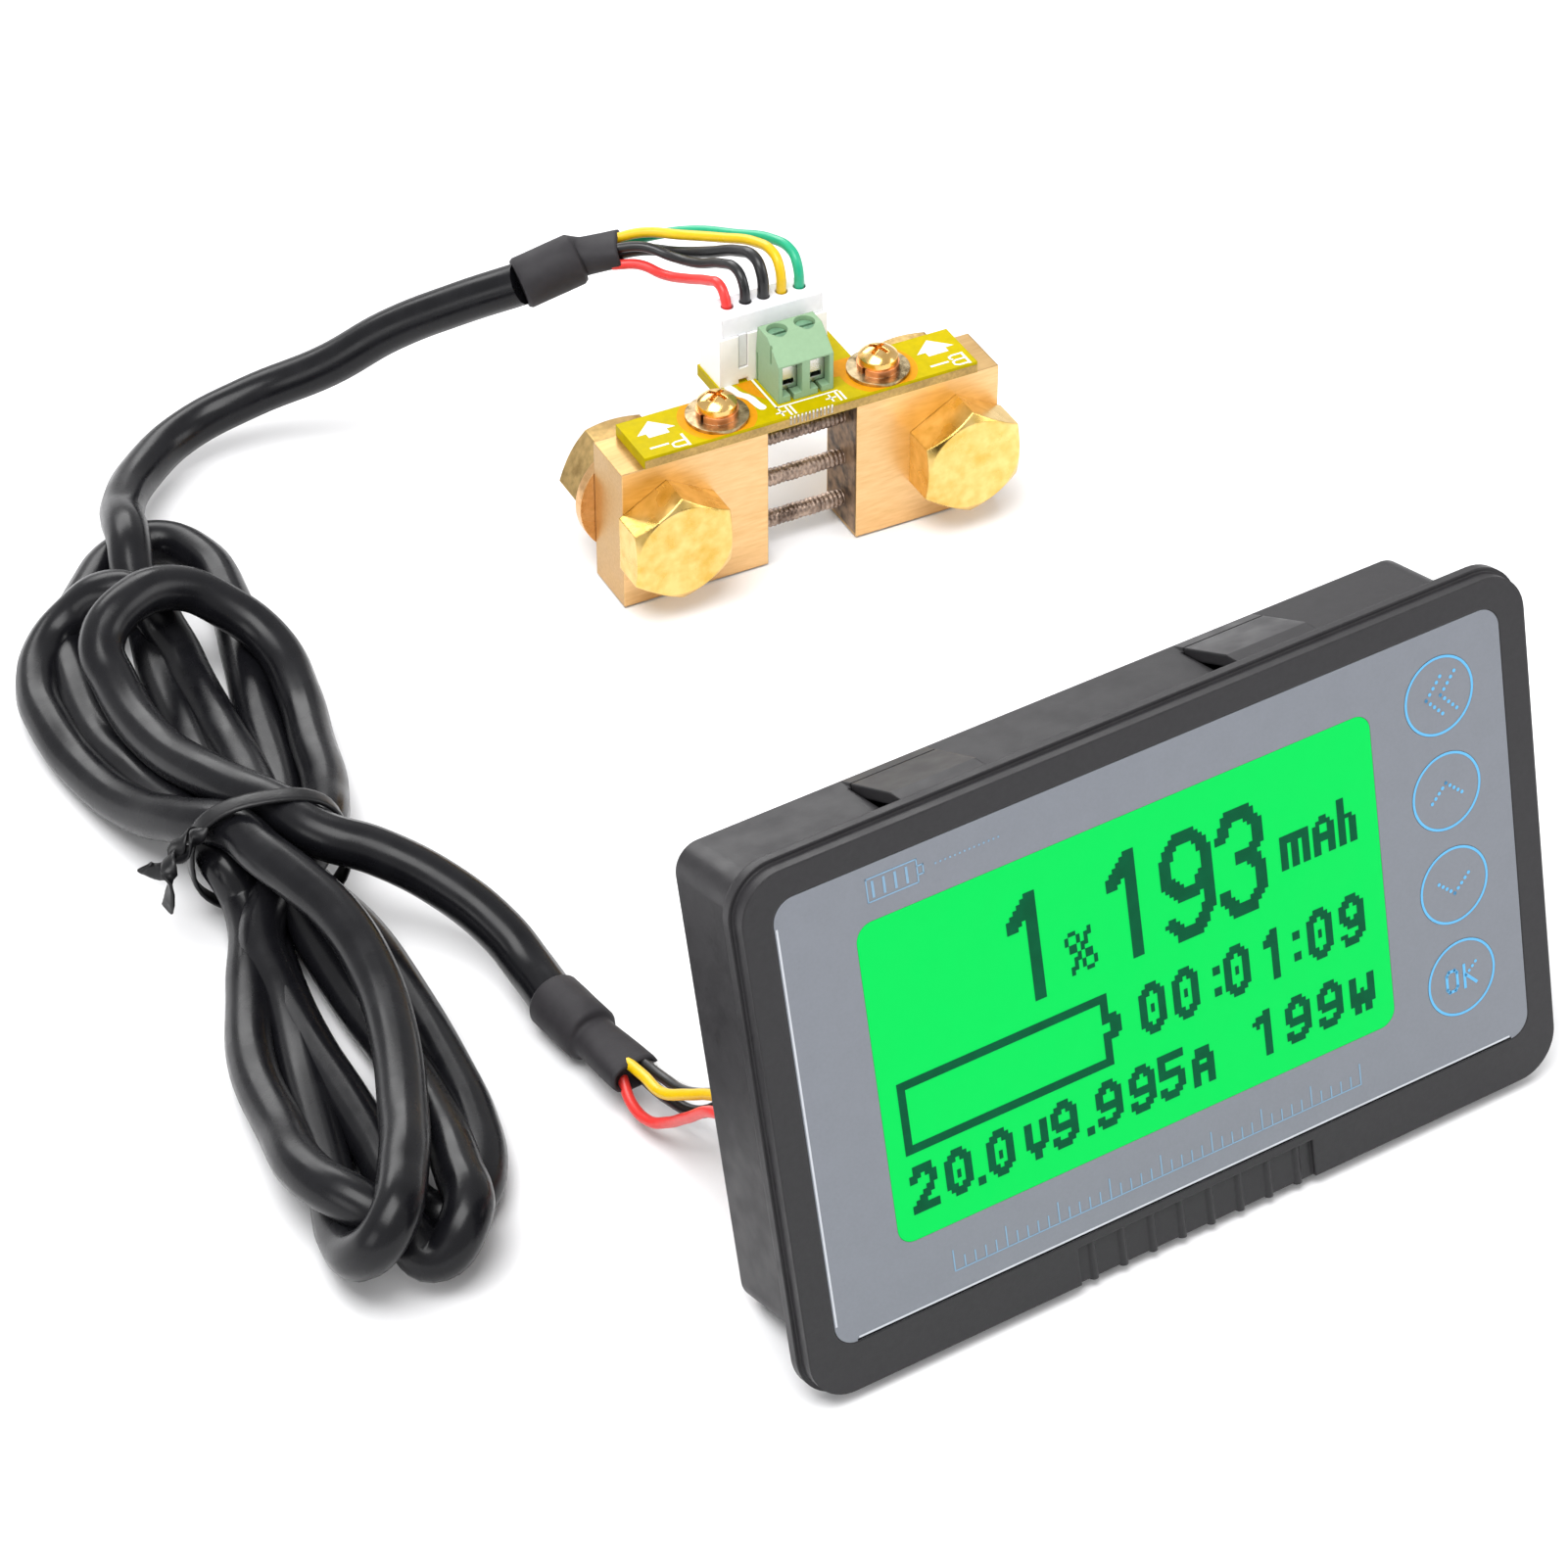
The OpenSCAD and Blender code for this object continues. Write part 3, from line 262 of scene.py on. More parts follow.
# the cable
jacket = surface("jacket", (0.006, 0.006, 0.0075), 0.27, vary=0.15, grain=500, bump=0.15, bump_scale=1800,
                 bump_mm=0.02, rough_vary=0.05, specular=0.25)
sleeve_skin = surface("sleeve_skin", (0.024, 0.022, 0.025), 0.62, vary=0.12, grain=900, bump=0.4,
                      bump_scale=2600, bump_mm=0.04, rough_vary=0.05, specular=0.3)
tie_skin = surface("tie_skin", (0.006, 0.006, 0.007), 0.36, vary=0.2, grain=1500, bump=0.5, bump_scale=2200,
                   specular=0.3)
COLOURS = {
    "red": (0.72, 0.035, 0.030), "black": (0.010, 0.010, 0.011), "yellow": (0.74, 0.47, 0.0),
    "green": (0.01, 0.38, 0.20), "white": (0.72, 0.72, 0.72),
}
insulation = {
    colour: surface("insulation_" + colour, value, 0.34, vary=0.06, grain=1800, bump=0.12, bump_scale=4000)
    for colour, value in COLOURS.items()
}

# which CAD node has which finish
FINISH = {
    case_plastic: ["front_case", "snap_clip_top_left", "snap_clip_top_right", "snap_clip_bottom_left",
                   "snap_clip_bottom_right"],
    cover_plastic: ["rear_cover"],
    film: ["front_overlay", "key_left", "key_up", "key_down", "key_ok"],
    screen: ["lcd_window", "lcd_glass"],
    diffuser: ["lcd_backlight"],
    steel_dark: ["lcd_frame"],
    main_mask: ["main_board"],
    chip_black: ["board_parts", "key_switches"],
    header_nylon_glowing: ["meter_header", "shunt_header"],
    plug_nylon: ["meter_plug", "shunt_plug"],
    tin: ["lcd_pins", "meter_header_pins", "shunt_header_pins", "terminal_pins"],
    zinc: ["case_screws", "terminal_clamp_left", "terminal_clamp_right"],
    terminal_screw_shade: ["terminal_screw_left", "terminal_screw_right"],
    block_metal: ["block_left", "block_right"],
    head_metal: ["bolt_left", "bolt_right"],
    nut_shaded_brass: ["nut_left", "nut_right"],
    washer_metal: ["washer_left", "washer_right"],
    small_washers: ["board_washers"],
    screw_gold: ["board_screws"],
    board_mask: ["shunt_board"],
    terminal_nylon: ["terminal_housing"],
    rod_metal: ["resistor_rods"],
    jacket: ["cable_lead_shunt", "cable_hank", "cable_lead_meter"],
    sleeve_skin: ["sleeve_shunt", "sleeve_meter"],
    insulation["red"]: ["wires_shunt", "wires_meter"],
    tie_skin: ["twist_tie"],
}
for material, names in FINISH.items():
    for name in names:
        data = NODES[name].data
        data.materials.clear()
        data.materials.append(material)


# ---------------------------------------------------------------- mesh helpers
def mesh_piece(name, verts, faces, place, material, body, smooth=False):
    """A mesh from points in millimetres, put in place by a matrix, riding on a CAD body."""
    mesh = bpy.data.meshes.new(name)
    mesh.from_pydata([place @ Vector(v) for v in verts], [], faces)
    mesh.validate()
    mesh.update()
    mesh.materials.append(material)
    for polygon in mesh.polygons:
        polygon.use_smooth = smooth
    obj = bpy.data.objects.new(name, mesh)
    bpy.context.scene.collection.objects.link(obj)
    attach(obj, body)
    return obj


DISC_SIDES = 12
RING_SIDES = 64
CAP_STEPS = 8                    # half circle at the end of a rounded band


class Patches:
    """Thin printed shapes on a plane, collected into one mesh that stands off it by a small lift.

    Prints that cross each other have different lifts, because faces in the same plane flicker.
    """

    def __init__(self, lift):
        self.verts, self.faces, self.lift = [], [], lift

    def poly(self, points):
        start = len(self.verts)
        self.verts += [(x, y) for x, y in points]
        self.faces.append(tuple(range(start, start + len(points))))

    def rect(self, x0, y0, x1, y1):
        self.poly([(x0, y0), (x1, y0), (x1, y1), (x0, y1)])

    def disc(self, x, y, r):
        self.poly([(x + r * math.cos(2 * math.pi * i / DISC_SIDES),
                    y + r * math.sin(2 * math.pi * i / DISC_SIDES)) for i in range(DISC_SIDES)])

    def ring(self, x, y, r_in, r_out):
        for i in range(RING_SIDES):
            a, b = (2 * math.pi * k / RING_SIDES for k in (i, i + 1))
            self.poly([(x + r_in * math.cos(a), y + r_in * math.sin(a)),
                       (x + r_out * math.cos(a), y + r_out * math.sin(a)),
                       (x + r_out * math.cos(b), y + r_out * math.sin(b)),
                       (x + r_in * math.cos(b), y + r_in * math.sin(b))])

    def line(self, points, width):
        """Straight strokes with square ends."""
        for (ax, ay), (bx, by) in zip(points[:-1], points[1:]):
            length = math.hypot(bx - ax, by - ay)
            ux, uy = (bx - ax) / length * width / 2, (by - ay) / length * width / 2
            self.poly([(ax - ux + uy, ay - uy - ux), (bx + ux + uy, by + uy - ux),
                       (bx + ux - uy, by + uy + ux), (ax - ux - uy, ay - uy + ux)])

    def band(self, points, width):
        """A strip of even width with rounded ends, its corners shared so that it never overlaps itself."""
        half, left, right = width / 2, [], []
        for k, (x, y) in enumerate(points):
            ax, ay = points[max(k - 1, 0)]
            bx, by = points[min(k + 1, len(points) - 1)]
            length = math.hypot(bx - ax, by - ay)
            nx, ny = -(by - ay) / length * half, (bx - ax) / length * half
            left.append((x + nx, y + ny))
            right.append((x - nx, y - ny))
        caps = []
        for (x, y), start in ((points[-1], left[-1]), (points[0], right[0])):
            a = math.atan2(start[1] - y, start[0] - x)
            caps.append([(x + half * math.cos(a - math.pi * k / CAP_STEPS),
                          y + half * math.sin(a - math.pi * k / CAP_STEPS)) for k in range(1, CAP_STEPS)])
        self.poly(left + caps[0] + right[::-1] + caps[1])

    def dots(self, points, count, r):
        """Evenly spaced dots along straight strokes."""
        for (ax, ay), (bx, by) in zip(points[:-1], points[1:]):
            for i in range(count):
                t = i / (count - 1)
                self.disc(ax + (bx - ax) * t, ay + (by - ay) * t, r)

    def on_face(self, name, material, body):
        verts = [(x, FACE_Y - self.lift, z) for x, z in self.verts]
        return mesh_piece(name, verts, self.faces, METER, material, body)

    def on_board(self, name, material, body):
        verts = [(x, y, BOARD_TOP + self.lift) for x, y in self.verts]
        return mesh_piece(name, verts, self.faces, SHUNT, material, body)


def loft(name, rings, place, material, body, closed=False):
    """A skin over rings of equal point counts, with its ends closed."""
    verts = [p for ring in rings for p in ring]
    n, count = len(rings[0]), len(rings)
    faces = []
    for k in range(count if closed else count - 1):
        for i in range(n):
            a, b = k * n + i, k * n + (i + 1) % n
            c, d = ((k + 1) % count) * n + (i + 1) % n, ((k + 1) % count) * n + i
            faces.append((a, b, c, d))
    if not closed:
        faces.append(tuple(reversed(range(n))))
        faces.append(tuple(range((count - 1) * n, count * n)))
    return mesh_piece(name, verts, faces, place, material, body, smooth=True)


def oval(centre, along, across, half_w, half_h, sides=24, power=2.4):
    """A ring of points round a centre: a rounded box section standing across a direction."""
    along = Vector(along).normalized()
    side = Vector(across) - along * Vector(across).dot(along)
    side.normalize()
    up = side.cross(along)
    out = []
    for i in range(sides):
        a = 2 * math.pi * i / sides
        c, s = math.cos(a), math.sin(a)
        out.append(Vector(centre) + side * half_w * math.copysign(abs(c) ** (2 / power), c)
                   + up * half_h * math.copysign(abs(s) ** (2 / power), s))
    return out


CORD_STEPS = 8                   # pieces of a cord between two of its points
CORD_ROUND = 5                   # finer steps round a cord


def curve_piece(name, points, dia, material):
    """A round cord through points in millimetres, as one open smooth spline."""
    data = bpy.data.curves.new(name, "CURVE")
    data.dimensions = "3D"
    data.bevel_depth = dia / 2 * MM
    data.bevel_resolution = CORD_ROUND
    data.resolution_u = CORD_STEPS
    data.use_fill_caps = True
    spline = data.splines.new("BEZIER")
    spline.bezier_points.add(len(points) - 1)
    for point, co in zip(spline.bezier_points, points):
        point.co = WORLD @ Vector(co)
        point.handle_left_type = point.handle_right_type = "AUTO"
    spline.resolution_u = CORD_STEPS
    data.materials.append(material)
    obj = bpy.data.objects.new(name, data)
    bpy.context.scene.collection.objects.link(obj)
    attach(obj, "base")
    return obj


# ---------------------------------------------------------------- the cable
TIE = Vector((-62.5, 29, 0))     # the waist of the hank, where its strands lie together
TIE_TURN = math.radians(-11)     # the hank's own direction


def at_tie(across, height):
    """A point in the tied waist, in millimetres across it and above the ground."""
    return TIE + Matrix.Rotation(TIE_TURN, 3, "Z") @ Vector((across, 0, height))


cable_route = [
    # from the shunt's sleeve down to the ground and into the tie
    (7, 90.4, 26), (1, 96, 22), (-6, 102, 17), (-13, 106, 12), (-22, 111, 7.5), (-31, 112, 5),
    (-39, 108, 4.5), (-46, 100, 6), (-50, 90, 8.5), (-52, 85, 6.5), (-53, 80, 4), (-56, 71, 3),
    (-59, 58, 3), at_tie(-3, 3.6),
    # first lower loop
    (-68, 22, 3), (-71, 12, 3), (-73, 2, 3), (-74, -8, 3), (-75, -17, 3), (-76, -24, 3), (-74, -30, 3),
    (-70, -29, 3), (-67, -26, 3), (-64, -19, 3), (-62, -10, 3), (-60, 3, 3), (-59, 14, 3),
    at_tie(2.6, 3.6),
    # first upper loop
    (-54, 44, 3), (-50, 57, 3), (-46, 68, 3), (-42, 80, 3), (-41, 89, 3), (-44, 95, 3), (-49, 95, 3),
    (-56, 90, 3), (-62, 83, 3), (-66, 73, 3), (-68, 63, 3), (-68, 52, 4.5), at_tie(-6, 7.2),
    # second lower loop
    (-68, 26, 4), (-74, 14, 3), (-80, 2, 3.5), (-83, -10, 5), (-85, -21, 7.5), (-83, -28, 8),
    (-80, -32, 6), (-78.5, -35.5, 4), (-74, -35, 7), (-71, -28, 7), (-68, -17, 5), (-66, -6, 3.5),
    (-65, 6, 3), (-64, 17, 4.5), at_tie(0.3, 7.7),
    # second upper loop
    (-58, 44, 6), (-56, 54, 4.5), (-54, 66, 4), (-53, 74, 5.5), (-54.5, 78.5, 9), (-57.5, 81.5, 9),
    (-61.5, 83, 6), (-65.8, 81.5, 4), (-69.8, 76, 3), (-71.8, 68, 3), (-72.2, 59, 3), (-71.4, 46, 5.5),
    (-69.6, 37, 9.4), at_tie(-4.7, 12.2),
    # third lower loop, on top of the others
    (-66.4, 23.5, 12.5), (-65.2, 17.5, 12.3), (-64.2, 10.5, 11.8), (-65, 1, 10.8), (-68, -9, 10.4),
    (-73, -20, 10.5), (-78, -29, 11.5), (-83, -35, 10.5), (-85.5, -34, 7), (-85, -28, 3.5),
    (-82, -20, 3), (-77, -5, 3), (-72, 9, 3), (-69, 20, 5), at_tie(5.4, 8.3),
    # third upper loop
    (-52, 36, 6.5), (-48, 47, 5), (-45, 56, 5), (-44, 64, 7), (-47, 70, 10), (-52, 73, 13),
    (-59, 72, 14), (-64, 69, 12), (-65, 64, 10), (-66, 52, 9.6), (-64.4, 38, 12.2), at_tie(1.0, 13.3),
    # out to the display's sleeve
    (-59.5, 22.5, 12.9), (-55, 18, 11.6), (-50, 11, 9), (-47, 4, 6), (-46.3, -1, 4), (-46.5, -6.6, 3.4),
]
cable = curve_piece("cable", cable_route, CABLE_DIA, jacket)
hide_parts("cable_lead_shunt", "cable_hank", "cable_lead_meter")


CORD_R = CABLE_DIA / 2
SLEEVE_R = SLEEVE_DIA / 2
SLEEVE_SIDES = 28
SLEEVE_BEND = 0.99               # rings past this lie square to the sleeve's second stretch
# place along the sleeve (0 to 1 over the jacket, 1 to 2 over the wires), half width, half height, squareness
SLEEVE_RINGS = [
    (-0.02, CORD_R, CORD_R, 2.0), (-0.02, SLEEVE_R - 0.25, SLEEVE_R - 0.25, 2.0),
    (0.03, SLEEVE_R, SLEEVE_R, 2.0), (0.3, SLEEVE_R + 0.03, SLEEVE_R - 0.02, 2.0),
    (0.62, SLEEVE_R - 0.03, SLEEVE_R + 0.02, 2.0), (0.92, SLEEVE_R, SLEEVE_R, 2.0),
    (0.985, SLEEVE_R - 0.3, SLEEVE_R - 0.35, 2.0), (1.0, 2.72, 2.6, 2.1),
    (1.1, 2.6, 2.35, 2.2), (1.35, 2.8, 2.1, 2.4), (1.65, 2.95, 1.9, 2.6), (1.92, 3.0, 1.8, 2.8),
    (1.99, 2.95, 1.75, 2.8), (2.0, 2.65, 1.4, 2.8), (1.9, 2.5, 1.25, 2.8),
]


def heat_sleeve(name, path):
    """A shrunk sleeve over the jacket, with a step down to a flatter, softly creased end."""
    a, b, c = (Vector(p) for p in path)
    first, last = b - a, c - b
    flat_side = Vector((0, 0, 1)).cross(last)
    rings = []
    for t, half_w, half_h, power in SLEEVE_RINGS:
        centre = a + first * t if t <= 1 else b + last * (t - 1)
        direction = first if t < SLEEVE_BEND else last
        rings.append(oval(centre, direction, flat_side, half_w, half_h, SLEEVE_SIDES, power))
    obj = loft(name, rings, WORLD, sleeve_skin, "base")
    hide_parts(name.replace("_skin", ""))
    return obj


SHUNT_SLEEVE = [(7, 90.4, 26), (14.6, 88.7, 28.2), (19, 85.8, 29.6)]
METER_SLEEVE = [(-46.5, -6.6, 3.4), (-46.1, -14.5, 3.6), (-45.9, -23.4, 4.6)]
sleeve_a = heat_sleeve("sleeve_shunt_skin", SHUNT_SLEEVE)
sleeve_b = heat_sleeve("sleeve_meter_skin", METER_SLEEVE)

# ---------------------------------------------------------------- the wires
SHUNT_WIRES = {
    "red": [(17, 84.5, 28.5), (19.6, 82.4, 28.8), (21.2, 79, 28.6), (22, 74.5, 30.2), (22.1, 70, 32.4),
            (22, 67, 33.4)],
    "black": [(17.2, 85.6, 30.2), (20.6, 83, 30.8), (22.8, 79.6, 30.4), (23.8, 75, 31.6), (24.4, 70.6, 33.8),
              (24.5, 67, 34.8)],
    "thick_black": [(18, 86.6, 28.4), (21.6, 84.4, 29.2), (24.2, 80.6, 30), (25.6, 75.4, 32.4),
                    (26.8, 70.6, 34.8), (27, 66.8, 35.8)],
    "yellow": [(18.4, 87.4, 30.2), (21.8, 85, 31.4), (25, 81.2, 32), (27.4, 75.6, 33.8), (29.2, 70.4, 35.4),
               (29.5, 66.5, 35.8)],
    "green": [(19, 88.6, 28.4), (23, 86, 29.8), (26.8, 81.6, 31.8), (29.6, 75.6, 33.6), (31.6, 70, 35.2),
              (32, 66.2, 35.4)],
}
METER_WIRES = {
    "red": [(-47, -22, 4), (-47.6, -25.5, 2.4), (-47.4, -28.4, 2.4), (-46.8, -31.4, 4.2),
            (-46.8, -35, 7.6)],
    "yellow": [(-46.2, -22, 5.6), (-46.4, -26, 6.6), (-46.6, -30, 7.4), (-45.6, -33.6, 9.4),
               (-44.8, -37, 11.6)],
    "black": [(-44.8, -22, 5.4), (-44.4, -27, 6), (-44.4, -31.5, 7.6), (-43, -36.4, 10.4)],
    "thick_black": [(-45, -22, 3.6), (-44.2, -27.6, 3.4), (-43.2, -32, 4.4), (-40.6, -36, 8.6)],
    "white": [(-43.4, -22, 4.4), (-42.4, -28, 5), (-41, -33, 7), (-38.4, -36.6, 10.2)],
}
WAYS = 5                         # wires in each plug
SHUNT_PLUG = (-0.75, 8)          # middle of the shunt's plug
PLUG_TOP = BOARD_TOP + 9.8       # top of the shunt's plug above the ground
METER_PLUG = (-36.3, 21)         # middle of the display's plug, across and up
PLUG_REAR = 20.3                 # back of the display's plug behind the flange


def way(i):
    """How far wire number i enters a plug from the plug's middle."""
    return (i - WAYS // 2) * PIN_PITCH


def in_mm(place, point):
    return place @ Vector(point) / MM


def shunt_hole(i, last):
    """The way down into the shunt's plug, from the height of a wire's last point."""
    hole = in_mm(SHUNT, (SHUNT_PLUG[0] + way(i), SHUNT_PLUG[1], PLUG_TOP - 1))
    return [hole + Vector((0, 0.5, last[2] - PLUG_TOP)), hole]


def meter_hole(i, _last):
    """The way forward into the display's plug, which is the same whatever a wire's last point."""
    x = METER_PLUG[0] + way(i)
    return [in_mm(METER, (x, PLUG_REAR + 3.5, METER_PLUG[1])), in_mm(METER, (x, PLUG_REAR - 1, METER_PLUG[1]))]


def wire_set(prefix, routes, hole):
    """Five insulated wires from a sleeve's flat end into a plug."""
    made = []
    for i, (kind, points) in enumerate(routes.items()):
        colour = kind.replace("thick_", "")
        dia = THICK_WIRE_DIA if kind.startswith("thick") else WIRE_DIA
        made.append(curve_piece(f"{prefix}_{i + 1}_{colour}", points + hole(i, points[-1]), dia,
                                insulation[colour]))
    return made


wires_a = wire_set("wire_shunt", SHUNT_WIRES, shunt_hole)
wires_b = wire_set("wire_meter", METER_WIRES, meter_hole)
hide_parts("wires_shunt")
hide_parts("wires_meter")


# ---------------------------------------------------------------- the twist tie
RIBBON_SIDES, RIBBON_SQUARE = 10, 4


def ribbon(name, points, sides, width, thick, closed=False):
    """A flat band along points; sides gives the direction of its width at each."""
    rings, count = [], len(points)
    for k, p in enumerate(points):
        before = points[k - 1] if (k or closed) else points[0]
        after = points[(k + 1) % count] if (k < count - 1 or closed) else points[-1]
        rings.append(oval(p, Vector(after) - Vector(before), sides[k], width / 2, thick / 2,
                          RIBBON_SIDES, RIBBON_SQUARE))
    return loft(name, rings, WORLD, tie_skin, "base", closed)


def soft_power(value, power):
    """A power that keeps the sign."""
    return math.copysign(abs(value) ** power, value)


BAND_W, BAND_T = 2.4, 0.6
BAND_MIDDLE = Vector((-63.7, 28, 0))
BAND_TURN = Matrix.Rotation(math.radians(-21), 3, "Z")
BAND_HALF_W, BAND_HALF_H = 9.0, 8.0
BAND_HEIGHT = 8.4                # its middle above the ground
BAND_WEAVE = 0.4                 # how far it wanders along the hank
BAND_STEPS = 40
band_points = []
for k in range(BAND_STEPS):
    a = 2 * math.pi * k / BAND_STEPS
    c, s = math.cos(a), math.sin(a)
    band_points.append(BAND_MIDDLE + BAND_TURN @ Vector((
        BAND_HALF_W * soft_power(c, 0.8), BAND_WEAVE * math.sin(2 * a),
        BAND_HEIGHT + BAND_HALF_H * soft_power(s, 0.75))))
tie_band = ribbon("tie_band", band_points, [Vector((0.2, 1, 0))] * BAND_STEPS, BAND_W, BAND_T, closed=True)
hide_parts("twist_tie")

# the tie's two ends, twisted round each other and then spread
KNOT = Vector((-70.2, 29.8, 13.6))
END_STEPS = 30
END_LENGTH = 8.2
END_TURNS = 3.2                  # half turns of the twist
END_SPREAD = 0.85                # from the twist's middle
SPREAD_FROM = 0.6                # share of the length that stays twisted
SPREAD_GROWTH = (3.8, 2.0)       # of each end
END_SIDEWAYS = (-0.22, 0.02)
for strand in (0, 1):
    points, sides = [], []
    for k in range(END_STEPS):
        t = k / (END_STEPS - 1)
        turn = math.pi * (strand + END_TURNS * t)
        spread = END_SPREAD if t < SPREAD_FROM else END_SPREAD + (t - SPREAD_FROM) * SPREAD_GROWTH[strand]
        reach = END_LENGTH * t
        points.append(KNOT + Vector((-reach * 0.92, reach * END_SIDEWAYS[strand], -0.55 * reach * t))
                      + Vector((0, math.cos(turn), math.sin(turn))) * spread * (0.4 + 0.6 * t))
        sides.append(Vector((0.25, math.sin(turn), -math.cos(turn))))
    ribbon(f"tie_end_{strand + 1}", points, sides, 2.1, 0.5)

# ---------------------------------------------------------------- the screen
DOT_X, DOT_Z = 0.475, 0.505      # size of one dot of the screen
SCREEN_LEFT, SCREEN_TOP = -34.9, 49.0
COLUMNS, ROWS = 128, 66
RING = [(0.32, 0), (0.68, 0), (1, 0.22), (1, 0.78), (0.68, 1), (0.32, 1), (0, 0.78), (0, 0.22), (0.32, 0)]
# each character as strokes in a unit square, from its lower left corner
STROKES = {
    "0": [RING],
    "1": [[(0.1, 0.8), (0.55, 1), (0.55, 0)]],
    "tall 1": [[(0.25, 0.76), (1, 1), (1, 0)]],
    "2": [[(0, 0.76), (0.28, 1), (0.72, 1), (1, 0.78), (1, 0.62), (0, 0), (1, 0)]],
    "3": [[(0, 0.8), (0.28, 1), (0.72, 1), (1, 0.82), (1, 0.66), (0.7, 0.54), (0.5, 0.54)],
          [(0.7, 0.54), (1, 0.4), (1, 0.18), (0.7, 0), (0.28, 0), (0, 0.18)]],
    "5": [[(1, 1), (0, 1), (0, 0.55), (0.7, 0.6), (1, 0.42), (1, 0.18), (0.7, 0), (0.28, 0), (0, 0.16)]],
    "9": [[(0.32, 0.42), (0.7, 0.42), (1, 0.6), (1, 0.8), (0.7, 1), (0.3, 1), (0, 0.8), (0, 0.6), (0.32, 0.42)],
          [(1, 0.7), (1, 0.24), (0.68, 0), (0.28, 0), (0.04, 0.14)]],
    "%": [[(0.1, 0.0), (0.9, 1)],
          [(0.1, 1), (0.3, 1)], [(0, 0.9), (0, 0.75)], [(0.4, 0.9), (0.4, 0.75)], [(0.1, 0.62), (0.3, 0.62)],
          [(0.7, 0.38), (0.9, 0.38)], [(0.6, 0.25), (0.6, 0.12)], [(1, 0.25), (1, 0.12)], [(0.7, 0), (0.9, 0)]],
    ":": [[(0, 0.2), (0.04, 0.2)], [(0, 0.66), (0.04, 0.66)]],
    ".": [[(0, 0), (0.05, 0)]],
    "m": [[(0, 0), (0, 1), (0.36, 1), (0.5, 0.8), (0.5, 0)], [(0.5, 0.8), (0.64, 1), (1, 1), (1, 0)]],
    "A": [[(0, 0), (0, 0.7), (0.35, 1), (0.65, 1), (1, 0.7), (1, 0)], [(0, 0.4), (1, 0.4)]],
    "h": [[(0, 0), (0, 1)], [(0, 0.6), (0.6, 0.62), (1, 0.45), (1, 0)]],
    "v": [[(0, 1), (0.1, 0.4), (0.5, 0), (0.9, 0.4), (1, 1)]],
    "W": [[(0, 1), (0.14, 0), (0.5, 0.5), (0.86, 0), (1, 1)]],
}
lit = set()                      # the dark dots, as (column, row) from the upper left


def to_column(x):
    return round((x - SCREEN_LEFT) / DOT_X)


def to_row(z):
    return round((SCREEN_TOP - z) / DOT_Z)


def near_stroke(px, py, strokes, reach):
    """Whether a point is within reach of any of the strokes."""
    for stroke in strokes:
        for (ax, ay), (bx, by) in zip(stroke[:-1], stroke[1:]):
            dx, dy = bx - ax, by - ay
            span = dx * dx + dy * dy
            t = 0.0 if span == 0 else max(0.0, min(1.0, ((px - ax) * dx + (py - ay) * dy) / span))
            if math.hypot(px - ax - t * dx, py - ay - t * dy) <= reach:
                return True
    return False


PEN_SLACK = 0.05                 # keeps a dot whose middle is just off a stroke


def write(char, left, bottom, wide, tall, pen, centre_dot=False):
    """Turns on the dots of one character; left and bottom are in millimetres, its size and pen in dots."""
    column, row = to_column(left), to_row(bottom)
    strokes = [[(x * (wide - pen), y * (tall - pen)) for x, y in s] for s in STROKES[char]]
    for i in range(wide):
        for j in range(tall):
            if near_stroke(i + 0.5 - pen / 2, j + 0.5 - pen / 2, strokes, pen / 2 + PEN_SLACK):
                lit.add((column + i, row - j))
    if centre_dot:
        lit.add((column + wide // 2, row - tall // 2))
        lit.add((column + wide // 2, row - tall // 2 + 1))


# heights of the screen's lines of text, and sizes in dots
TALL_LINE, BIG_LINE, SIGN_LINE, UNIT_LINE, CLOCK_LINE, LOWER_LINE = 35.8, 35.6, 36.8, 38.4, 26.2, 17.8
BIG_H, BIG_PEN = 25, 3
CLOCK_H, LOWER_H, PEN = 12, 11, 2
UNIT_PEN, SIGN_PEN = PEN - 0.4, 1.1
write("tall 1", -20.4, TALL_LINE, 10, BIG_H, BIG_PEN)
write("tall 1", -7.7, TALL_LINE, 10, BIG_H, BIG_PEN)
write("9", -0.4, BIG_LINE, 14, BIG_H, BIG_PEN)
write("3", 7.0, BIG_LINE, 13, BIG_H, BIG_PEN)
write("%", -12.4, SIGN_LINE, 8, 10, SIGN_PEN)
write("m", 14.9, UNIT_LINE, 8, 8, UNIT_PEN)
write("A", 19.4, UNIT_LINE, 6, 9, UNIT_PEN)
write("h", 22.8, UNIT_LINE, 5, 11, UNIT_PEN)
CLOCK = zip("00:01:09", (-4.3, 0.0, 4.9, 6.5, 11.2, 15.4, 17.3, 21.6))
for char, left in CLOCK:
    write(char, left, CLOCK_LINE, 7, CLOCK_H, PEN, char == "0")
READINGS = zip("20.0v9.995A199W", (-34.6, -30.2, -26.2, -24.7, -20.4, -16.8, -12.6, -11.0, -7.1, -2.9, 1.3,
                                   9.5, 13.4, 17.6, 21.9))
for char, left in READINGS:
    tall = LOWER_H - 2 if char in "vAW" else LOWER_H
    write(char, left, LOWER_LINE, 6 if char in "vA" else 7, tall, PEN, char == "0")

